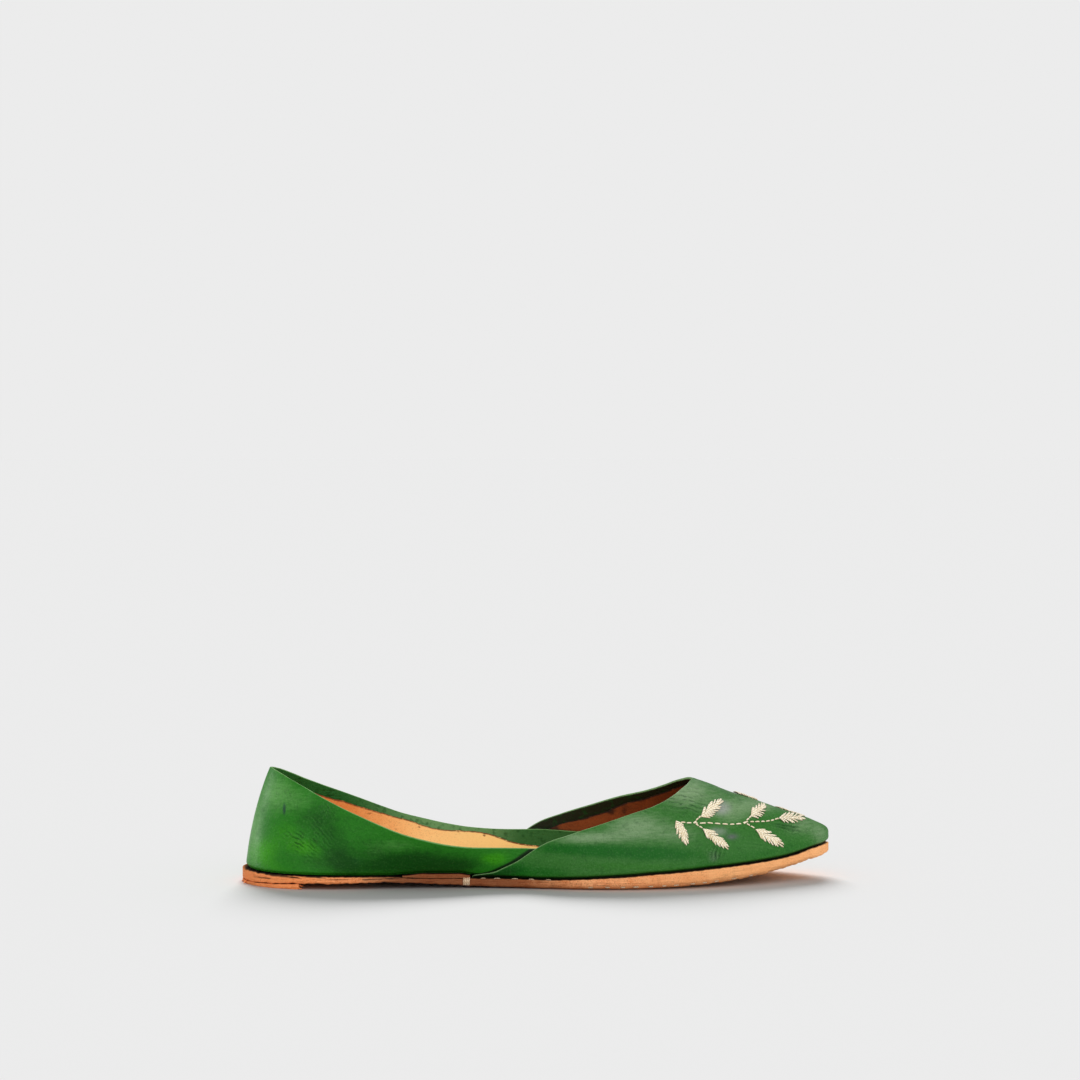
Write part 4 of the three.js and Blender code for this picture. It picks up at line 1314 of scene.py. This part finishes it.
class Finish:
    """A material being written: its node tree and the methods that add to it."""

    def __init__(self, name):
        self.material = bpy.data.materials.new(name)
        self.material.use_nodes = True
        self.tree = self.material.node_tree
        self.tree.nodes.clear()
        self.place = self.node("ShaderNodeTexCoord", output="Object")

    def node(self, kind, settings=None, sockets=None, output=0):
        """Adds a node: its settings first, then the values or links of its sockets. Returns one
        output."""
        made = self.tree.nodes.new(kind)
        for key, value in (settings or {}).items():
            setattr(made, key, value)
        for key, value in (sockets or {}).items():
            if isinstance(value, Signal):
                self.tree.links.new(value.socket, made.inputs[key])
            else:
                made.inputs[key].default_value = value
        return Signal(self, made.outputs[output])

    def along(self):
        """Place along the shoe, x in metres."""
        return self.node("ShaderNodeSeparateXYZ", None, {"Vector": self.place}, "X")

    def mask(self, name):
        """A number stored on the mesh's points."""
        return self.node("ShaderNodeAttribute", {"attribute_name": name}, output="Fac")

    def noise(self, per_metre, detail=3.0, rough=0.5, stretch=None, warp=0.0):
        """Soft noise from 0 to 1, on coordinates that may be turned and stretched first."""
        place = self.place
        if stretch:
            turn, scale = stretch
            place = self.node("ShaderNodeMapping", None, {"Vector": place, "Rotation": turn, "Scale": scale})
        sockets = {"Vector": place, "Scale": per_metre, "Detail": detail}
        sockets.update({"Roughness": rough, "Distortion": warp})
        return self.node("ShaderNodeTexNoise", None, sockets, "Fac")

    def fade(self, value, low, high, start=0.0, end=1.0):
        """Smooth change from start to end while the value goes from low to high."""
        sockets = {"Value": value, 1: low, 2: high, 3: start, 4: end}
        return self.node("ShaderNodeMapRange", {"interpolation_type": "SMOOTHSTEP"}, sockets)

    def sine(self, angle):
        """Sine of an angle in radians."""
        return self.node("ShaderNodeMath", {"operation": "SINE"}, {0: angle})

    def blend(self, below, above, share):
        """Colour mix: below where the share is 0, above where it is 1."""
        settings = {"data_type": "RGBA", "blend_type": "MIX", "clamp_factor": True}
        return self.node("ShaderNodeMix", settings, {0: share, 6: below, 7: above}, 2)

    def layers(self, colours, shares):
        """The middle colour with others of the table laid over it in turn, each by its share."""
        colour = colours["mid"]
        for name, share in shares:
            colour = self.blend(colour, colours[name], share)
        return colour

    def bump(self, height, distance, strength=1.0, normal=None):
        """A Bump node: height 0 to 1 stands for the distance in metres."""
        sockets = {"Height": height, "Distance": distance, "Strength": strength}
        if normal:
            sockets["Normal"] = normal
        return self.node("ShaderNodeBump", None, sockets)

    def close(self, sockets, *pieces):
        """Ends the material with a Principled shader, and gives it to the pieces."""
        shader = self.node("ShaderNodeBsdfPrincipled", None, sockets)
        output = self.tree.nodes.new("ShaderNodeOutputMaterial")
        self.tree.links.new(shader.socket, output.inputs["Surface"])
        for piece in pieces:
            piece.data.materials.append(self.material)
        print(f"{self.material.name}: {len(self.tree.nodes)} nodes on {len(pieces)} pieces")


def dye(red, green, blue):
    """A colour as seen on a screen, 0 to 255, made linear: ((c + 0.055) / 1.055)^2.4."""
    seen = np.array([red, green, blue]) / 255
    linear = np.where(seen < 0.04045, seen / 12.92, ((seen + 0.055) / 1.055) ** 2.4)
    return (*(float(v) for v in linear), 1.0)


# %% [markdown]
# ## Green leather
# Both uppers are vegetable-tanned leather, rubbed with green dye and burnished with a smooth stone.
# The dye soaks in unevenly, the burnished skin has a soft gloss, and every cut shows the paler
# fibres inside. One function makes both finishes from their own colours. The grain is fine pebbles
# under a millimetre, the scratches are noise stretched along two slanting ways, shown only where the
# scratch mask is, and the wrinkles are waves of the stored wrinkle count, shaken by noise and broken
# up, so that no two are alike. The wrinkles' troughs and the creases get painted shade, and the
# wrinkles' crests a painted highlight. The bloom also paints highlights, the shade mask paints shade,
# and the leather's inside is painted as shade near the heel and over the vamp, and as light further
# forward on the quarter.

# %% Green leather finish
FULL_TURN = 2 * np.pi


def green_leather(name, colours, inside_in_shade, inside_in_light, pieces):
    """Burnished green leather. The masks on the points choose between the dyes, the painted shade and the
    painted highlights.
    """
    finish = Finish(name)
    blotch = finish.noise(95, 4, 0.6, warp=0.6)
    mottle = finish.noise(420, 4, 0.62)
    speckle = finish.noise(1500, 2, 0.5)
    streaks = finish.noise(210, 3, 0.6, ((0.0, 0.7, 0.0), (1.0, 1.0, 6.0)))
    lines = finish.noise(260, 2, 0.5, ((0.0, 0.35, 0.0), (9.0, 9.0, 0.6)))
    crossed = finish.noise(300, 2, 0.5, ((0.0, -0.9, 0.0), (9.0, 9.0, 0.5)))
    scratch = finish.mask("scratch")
    fine = (finish.fade(lines, 0.60, 0.72) + finish.fade(crossed, 0.62, 0.74)) * scratch
    uneven = blotch - 0.5
    dark = finish.fade(finish.mask("dark") + uneven * 0.40 + (mottle - 0.5) * 0.4, 0.05, 1.05)
    bright = finish.fade(finish.mask("bright") + uneven * 0.45 + (mottle - 0.5) * 0.7, 0.18, 0.95)
    # Bloom: the burnished greyer tone, also used as a painted highlight.
    bloom_and_highlight = finish.fade(finish.mask("bloom_and_highlight") + (streaks - 0.5) * 0.45, 0.10, 0.85)
    blue = finish.fade(finish.mask("blue") + (mottle - 0.5) * 0.3, 0.15, 0.90)
    wrinkle = finish.noise(330, 4, 0.6, ((0.0, 0.35, 0.0), (1.0, 1.0, 3.2)))
    sway = finish.mask("fold") * FULL_TURN + (blotch - 0.5) * 11.0 + (mottle - 0.5) * 8.0
    wave, folded = finish.sine(sway), finish.mask("folded")
    broken = finish.fade(finish.noise(260, 3, 0.6), 0.40, 0.60)
    # Dark lines along the wrinkles' troughs: painted shade.
    line = finish.fade(wave, 0.45, 1.0) * folded * broken
    shade = finish.fade(finish.mask("shade") + uneven * 0.3, 0.15, 0.9)
    colour = finish.layers(colours, [
        ("dark", dark), ("bright", bright * 0.9), ("bloom_and_highlight", bloom_and_highlight * 0.85), ("blue", blue * 0.8),
        ("bruise", finish.mask("bruise") * 0.7),
        ("deep", finish.fade(mottle, 0.50, 0.72) * 0.28),
        ("light", finish.fade(speckle, 0.52, 0.72) * 0.10),
        ("deep", finish.fade(speckle, 0.48, 0.32) * 0.22),
        ("light", fine * 0.30),
        ("deep", line * 0.95),
        # Lighter wrinkle crests: painted highlight.
        ("light", finish.fade(wave, -0.4, -0.95) * folded * 0.15),
        # Painted shade in the creases.
        ("deep", finish.fade(finish.mask("crease_shade"), 0.25, 1.3) * 0.35),
        ("shade", shade * 0.9),
    ])
    along = finish.along()
    # Painted light and shade on the leather's inside: the shaded colour behind x = -85 mm, the lit one
    # between -40 and -24 mm, and mostly shaded again past -4 mm.
    painted_light_inside = finish.fade(along, -0.085, -0.040) * (1 - finish.fade(along, -0.024, -0.004) * 0.85)
    inside = finish.blend(inside_in_shade, inside_in_light, painted_light_inside)
    inside = finish.blend(inside, colours["deep"], finish.fade(mottle, 0.5, 0.66) * 0.6)
    colour = finish.blend(colour, inside, finish.mask("within"))
    cut = finish.mask("cut") * finish.fade(finish.noise(500, 2), 0.15, 0.6, 0.40, 0.95)
    colour = finish.blend(colour, colours["cut"], cut)
    pebble = finish.node("ShaderNodeTexVoronoi", {"feature": "SMOOTH_F1"},
                         {"Vector": finish.place, "Scale": 1250.0, "Smoothness": 0.6}, "Distance")
    normal = finish.bump(pebble * 0.6 + speckle * 0.4, 0.00014, 0.9)
    normal = finish.bump(wrinkle * (0.35 + scratch), 0.0009, 0.8, normal)
    normal = finish.bump(fine, 0.00008, 0.9, normal)
    normal = finish.bump(wave * folded * broken, -0.00020, 1.0, normal)
    gloss = finish.fade(blotch * 0.6 + mottle * 0.4, 0.25, 0.75, 0.36, 0.52)
    rough = gloss + finish.mask("within") * 0.12 + finish.mask("cut") * 0.25 + fine * 0.12
    coat = (1 - finish.mask("within")) * (0.04 + finish.fade(bloom_and_highlight, 0.0, 1.0) * 0.20)
    finish.close({"Base Color": colour, "Roughness": rough, "Normal": normal, "Coat Weight": coat,
                  "Coat Roughness": 0.32, "Specular IOR Level": 0.14}, *pieces)


VAMP_COLOURS = {
    "mid": dye(46, 106, 36), "dark": dye(0, 90, 2), "bright": dye(38, 110, 14),
    "bloom_and_highlight": dye(128, 156, 114), "blue": dye(156, 158, 154), "bruise": dye(108, 94, 114),
    "deep": dye(12, 62, 18), "light": dye(124, 164, 112), "cut": dye(112, 148, 96),
    "shade": dye(6, 18, 6),
}
QUARTER_COLOURS = {
    "mid": dye(33, 112, 20), "dark": dye(9, 68, 6), "bright": dye(54, 144, 2),
    "bloom_and_highlight": dye(96, 156, 78), "blue": dye(26, 70, 52), "bruise": dye(26, 46, 44),
    "deep": dye(9, 66, 10), "light": dye(98, 160, 80), "cut": dye(112, 156, 92),
    "shade": dye(3, 14, 3),
}
# The vamp's inside is painted near black as shade; the quarter's is painted darker near the heel as shade and
# paler further forward as light.
green_leather("vamp_green", VAMP_COLOURS, dye(24, 30, 14), dye(40, 48, 26), [vamp])
green_leather("quarter_green", QUARTER_COLOURS, dye(30, 92, 34), dye(98, 142, 86), [quarter])

# %% [markdown]
# ## Tan leather: linings, insole and sole
# The linings are undyed leather with the flesh side out, so they are matt and slightly hairy. The
# quarter's lining is painted a warmer orange near the heel, as shade, and pale peach further
# forward, as light, and the vamp's lining is a darker brown, partly its own colour and partly
# painted shade. The sole is the same leather left thick. Its cut edge is speckled, with darker
# fibres that run along the edge, and it is browner where hands and floors have rubbed it. Its top
# is painted near black, grime and painted shade in the gap under the upper, and its waist is
# darker, from dirt and painted shade.

# %% Tan leather finishes
def tan_leather(name, colours, pieces, fuzz, streaks, specks):
    """Undyed leather: speckled, with fibres along x, darker at cuts, dyed, worn and painted with light
    and shade by its masks. The fuzz scales the bumps, and streaks and specks are the shares of the
    two patterns."""
    finish = Finish(name)
    blotch = finish.noise(70, 4, 0.6, warp=0.5)
    mottle = finish.noise(480, 4, 0.65)
    speckle = finish.noise(1900, 2, 0.6)
    fibre = finish.noise(300, 4, 0.65, ((0.0, 0.0, 0.0), (0.28, 0.8, 3.4)))
    along = finish.along() + (blotch - 0.5) * 0.02
    # The sole darkens under the waist, from dirt and painted shade.
    waist = finish.fade(along, -0.085, -0.055) * (1 - finish.fade(along, -0.020, 0.030))
    shares = [
        ("pale", finish.fade(blotch * 0.6 + mottle * 0.4, 0.35, 0.65)),
        ("warm", finish.fade(mottle, 0.48, 0.68) * 0.45),
        ("dark", finish.fade(fibre, 0.52, 0.72) * streaks),
        ("dark", finish.fade(speckle, 0.55, 0.70) * specks),
        ("pale", finish.fade(speckle, 0.50, 0.36) * specks * 0.9),
        # Wear on the sole's lower edge, and painted light on the quarter's lining forward of the heel.
        ("wear_and_light", finish.mask("wear_and_light") * colours["wear_and_light_share"]),
        ("dark", waist * colours.get("waist", 0.0)),
    ]
    # On the quarter's lining the rear colour is painted shade and the front one painted light.
    if "ends" in colours:
        behind, rear, ahead, front = colours["ends"]
        shares += [
            ("rear", 0.6 - finish.fade(along, behind, rear) * 0.6),
            ("front", finish.fade(along, ahead, front) * 0.6),
        ]
    shares += [
        ("dark", finish.mask("cut") * finish.fade(mottle, 0.30, 0.48, 0.35, 1.0)),
        ("grime_and_shade", finish.mask("grime_and_shade")),
        ("dye", finish.fade(finish.mask("dye") + (mottle - 0.5) * 0.8, 0.2, 0.8) * 0.8),
    ]
    colour = finish.layers(colours, shares)
    normal = finish.bump(fibre, 0.00070 * streaks * fuzz, 0.8)
    normal = finish.bump(mottle * 0.6 + speckle * 0.4, 0.00016 * fuzz, 0.9, normal)
    rough = finish.fade(mottle, 0.3, 0.7, 0.72, 0.88)
    finish.close({"Base Color": colour, "Roughness": rough, "Normal": normal, "Specular IOR Level": 0.25},
                 *pieces)


objects = bpy.data.objects
# The quarter's lining: the rear colour is painted shade near the heel, and the front and pale wear colours
# are painted light further forward.
tan_leather("quarter_lining_tan", {
    "mid": dye(240, 160, 84), "pale": dye(252, 192, 120), "warm": dye(226, 126, 54),
    "dark": dye(120, 60, 24), "wear_and_light": dye(255, 218, 146), "wear_and_light_share": 0.60, "dye": dye(112, 54, 16),
    "ends": (-0.085, -0.050, -0.050, -0.010), "rear": dye(212, 108, 30), "front": dye(255, 222, 138),
    "grime_and_shade": dye(80, 44, 20),
}, [objects["quarter_lining"]], 1.8, 0.06, 0.55)
# The vamp's lining: its brown is partly its own colour and partly painted shade inside the toe.
tan_leather("vamp_lining_brown", {
    "mid": dye(122, 62, 24), "pale": dye(142, 74, 32), "warm": dye(104, 44, 12),
    "dark": dye(44, 22, 10), "wear_and_light": dye(122, 62, 24), "wear_and_light_share": 0.0, "dye": dye(30, 18, 10),
    "grime_and_shade": dye(60, 34, 18),
}, [objects["vamp_lining"]], 1.2, 0.20, 0.35)
tan_leather("insole_tan", {
    "mid": dye(214, 148, 92), "pale": dye(232, 172, 116), "warm": dye(194, 118, 64),
    "dark": dye(118, 68, 36), "wear_and_light": dye(214, 148, 92), "wear_and_light_share": 0.0, "dye": dye(172, 110, 62),
    "grime_and_shade": dye(214, 148, 92),
}, [insole], 1.2, 0.05, 0.40)
sole_pieces = [outsole, loose, heel_lift, waist_layer]
tan_leather("sole_tan", {
    "mid": dye(230, 132, 72), "pale": dye(255, 180, 124), "warm": dye(208, 98, 42),
    "dark": dye(106, 50, 20), "wear_and_light": dye(200, 122, 72), "wear_and_light_share": 0.25, "dye": dye(110, 60, 30),
    "ends": (-0.105, -0.070, 0.020, 0.080), "rear": dye(252, 146, 80), "front": dye(255, 190, 126),
    "waist": 0.85, "grime_and_shade": dye(36, 20, 10),
}, sole_pieces, 1.5, 0.72, 0.65)

# %% [markdown]
# ## Thread
# Cotton thread is two or three strands twisted together and a little waxed. The strands show as
# slanted ridges, worked out from how far along and how far round the tube a point is: the ridges are
# painted light and their grooves painted shade, with a painted warm shade between neighbouring
# stitches.

# %% Thread finish
def thread(name, light, shade, hollow, twist, pieces):
    """Twisted thread: ridges sin(twist along + 4 pi around), painted darker in their grooves as shade,
    and painted dark on the flanks, where stitches lie against each other, as shade."""
    finish = Finish(name)
    along, round_it, tone = finish.mask("along"), finish.mask("around"), finish.mask("tone")
    ridge = finish.sine(along * twist + round_it * (2 * FULL_TURN)) * 0.5 + 0.5
    hairs = finish.noise(1600, 3, 0.6)
    # Ridges painted light, grooves painted shade.
    colour = finish.blend(shade, light, finish.fade(ridge * 0.5 + hairs * 0.5, 0.15, 0.60))
    colour = finish.blend(colour, shade, finish.fade(tone, 0.55, 1.0) * 0.35)
    # Painted shade on the flanks, where stitches lie against each other.
    colour = finish.blend(colour, hollow, finish.fade(finish.mask("flank"), 0.16, 0.48) * 0.85)
    normal = finish.bump(ridge * 0.7 + hairs * 0.3, 0.00010, 0.8)
    rough = finish.fade(hairs, 0.3, 0.7, 0.45, 0.62)
    finish.close({"Base Color": colour, "Roughness": rough, "Normal": normal, "Sheen Weight": 0.25,
                  "Specular IOR Level": 0.4}, *pieces)


thread("satin_thread", dye(255, 246, 222), dye(204, 176, 122), dye(74, 66, 34), 26.0, embroidery[::2])
thread("stem_thread", dye(255, 244, 218), dye(206, 180, 128), dye(150, 138, 92), 26.0, embroidery[1::2])
stitches = [piece for piece in objects if piece.name.endswith(("_stitches", "_wrap"))]
thread("sole_thread", dye(228, 200, 166), dye(176, 136, 96), dye(96, 62, 34), 22.0, stitches)

# %% [markdown]
# ## Floor and light
# The floor is a large matt sheet. The photograph's light is soft, its shadow falls a little towards
# the viewer, and pale reflections run along the heel and the nose. One wide sun behind lights only
# the floor, and so gives the shadow. Two more light the shoe from behind and from the front, and two
# soft panels light the uppers alone, for the highlights. Each lamp can be set without the others.

# %% Floor
def floor_sheet(size=40.0, cells=8):
    """A level square grid at the height of the floor."""
    place = np.linspace(-size / 2, size / 2, cells + 1)
    x, y = np.meshgrid(place, place, indexing="ij")
    mesh = bpy.data.meshes.new("floor")
    mesh.from_pydata(np.stack([x, y, 0 * x], -1).reshape(-1, 3), [], quads(cells + 1, cells + 1).tolist())
    sheet = bpy.data.objects.new("floor", mesh)
    bpy.context.collection.objects.link(sheet)
    sheet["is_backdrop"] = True
    return sheet


floor = floor_sheet()
finish = Finish("floor_paper")
finish.close({"Base Color": (0.80, 0.80, 0.80, 1.0), "Roughness": 0.9, "Specular IOR Level": 0.0}, floor)

# %% World and lamps
PALE = 0.838
world = bpy.data.worlds.new("studio")
bpy.context.scene.world = world
world.use_nodes = True
nodes, links = world.node_tree.nodes, world.node_tree.links
nodes.clear()
seen, light = nodes.new("ShaderNodeBackground"), nodes.new("ShaderNodeBackground")
mix = nodes.new("ShaderNodeMixShader")
seen.inputs["Color"].default_value = (PALE, PALE, PALE, 1.0)
light.inputs["Color"].default_value = (0.42, 0.42, 0.42, 1.0)
links.new(nodes.new("ShaderNodeLightPath").outputs["Is Camera Ray"], mix.inputs[0])
links.new(light.outputs[0], mix.inputs[1])
links.new(seen.outputs[0], mix.inputs[2])
links.new(mix.outputs[0], nodes.new("ShaderNodeOutputWorld").inputs["Surface"])


def lamp(name, kind, place, target, strength, **settings):
    """A lamp in metres that points at its target."""
    data = bpy.data.lights.new(name, kind)
    data.energy = strength
    for key, value in settings.items():
        setattr(data, key, value)
    made = bpy.data.objects.new(name, data)
    made.location = place
    made.rotation_euler = (Vector(target) - Vector(place)).to_track_quat("-Z", "Y").to_euler()
    bpy.context.collection.objects.link(made)
    return made


def light_only(name, lamps, pieces):
    """Lets the lamps light these pieces alone. Everything still casts their shadows."""
    lit = bpy.data.collections.new(name)
    for piece in pieces:
        lit.objects.link(piece)
    for made in lamps:
        made.light_linking.receiver_collection = lit


floor_window = lamp("floor_window", "SUN", (0.0, 1.25, 1.0), (0, 0, 0), 3.143, angle=np.radians(34))
back_window = lamp("back_window", "SUN", (-0.20, 1.05, 1.35), (0, 0, 0), 1.40, angle=np.radians(40))
front_window = lamp("front_window", "SUN", (0.3, -1.2, 0.62), (0, 0, 0), 1.80, angle=np.radians(70))
STRIP = {"shape": "RECTANGLE", "size": 0.12, "size_y": 0.4}
strips = [
    lamp("heel_strip", "AREA", (-0.55, 0.16, 0.16), (-0.12, 0, 0.03), 1.0, **STRIP),
    lamp("nose_strip", "AREA", (0.60, 0.10, 0.20), (0.12, 0, 0.02), 0.5, **STRIP),
]
light_only("lit_floor", [floor_window], [floor])
dressed = [piece for piece in objects if piece.type == "MESH" and piece != floor]
light_only("lit_shoe", [front_window], dressed)
light_only("lit_over_sole", [back_window], [piece for piece in dressed if piece not in sole_pieces])
light_only("lit_uppers", strips, [vamp, quarter])

# %% [markdown]
# ## Sizes
# The dressed shoe is meant to keep the CAD model's size. The difference between the two boxes is printed.

# %% Check the size and finish
visual_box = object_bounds()
boxes = {name: [list(corner) for corner in box] for name, box in (("cad", cad_box), ("visual", visual_box))}
change = np.round((np.array(boxes["visual"]) - np.array(boxes["cad"])) * 1000, 2)
print("dressed box less CAD box, in millimetres:", change.tolist())
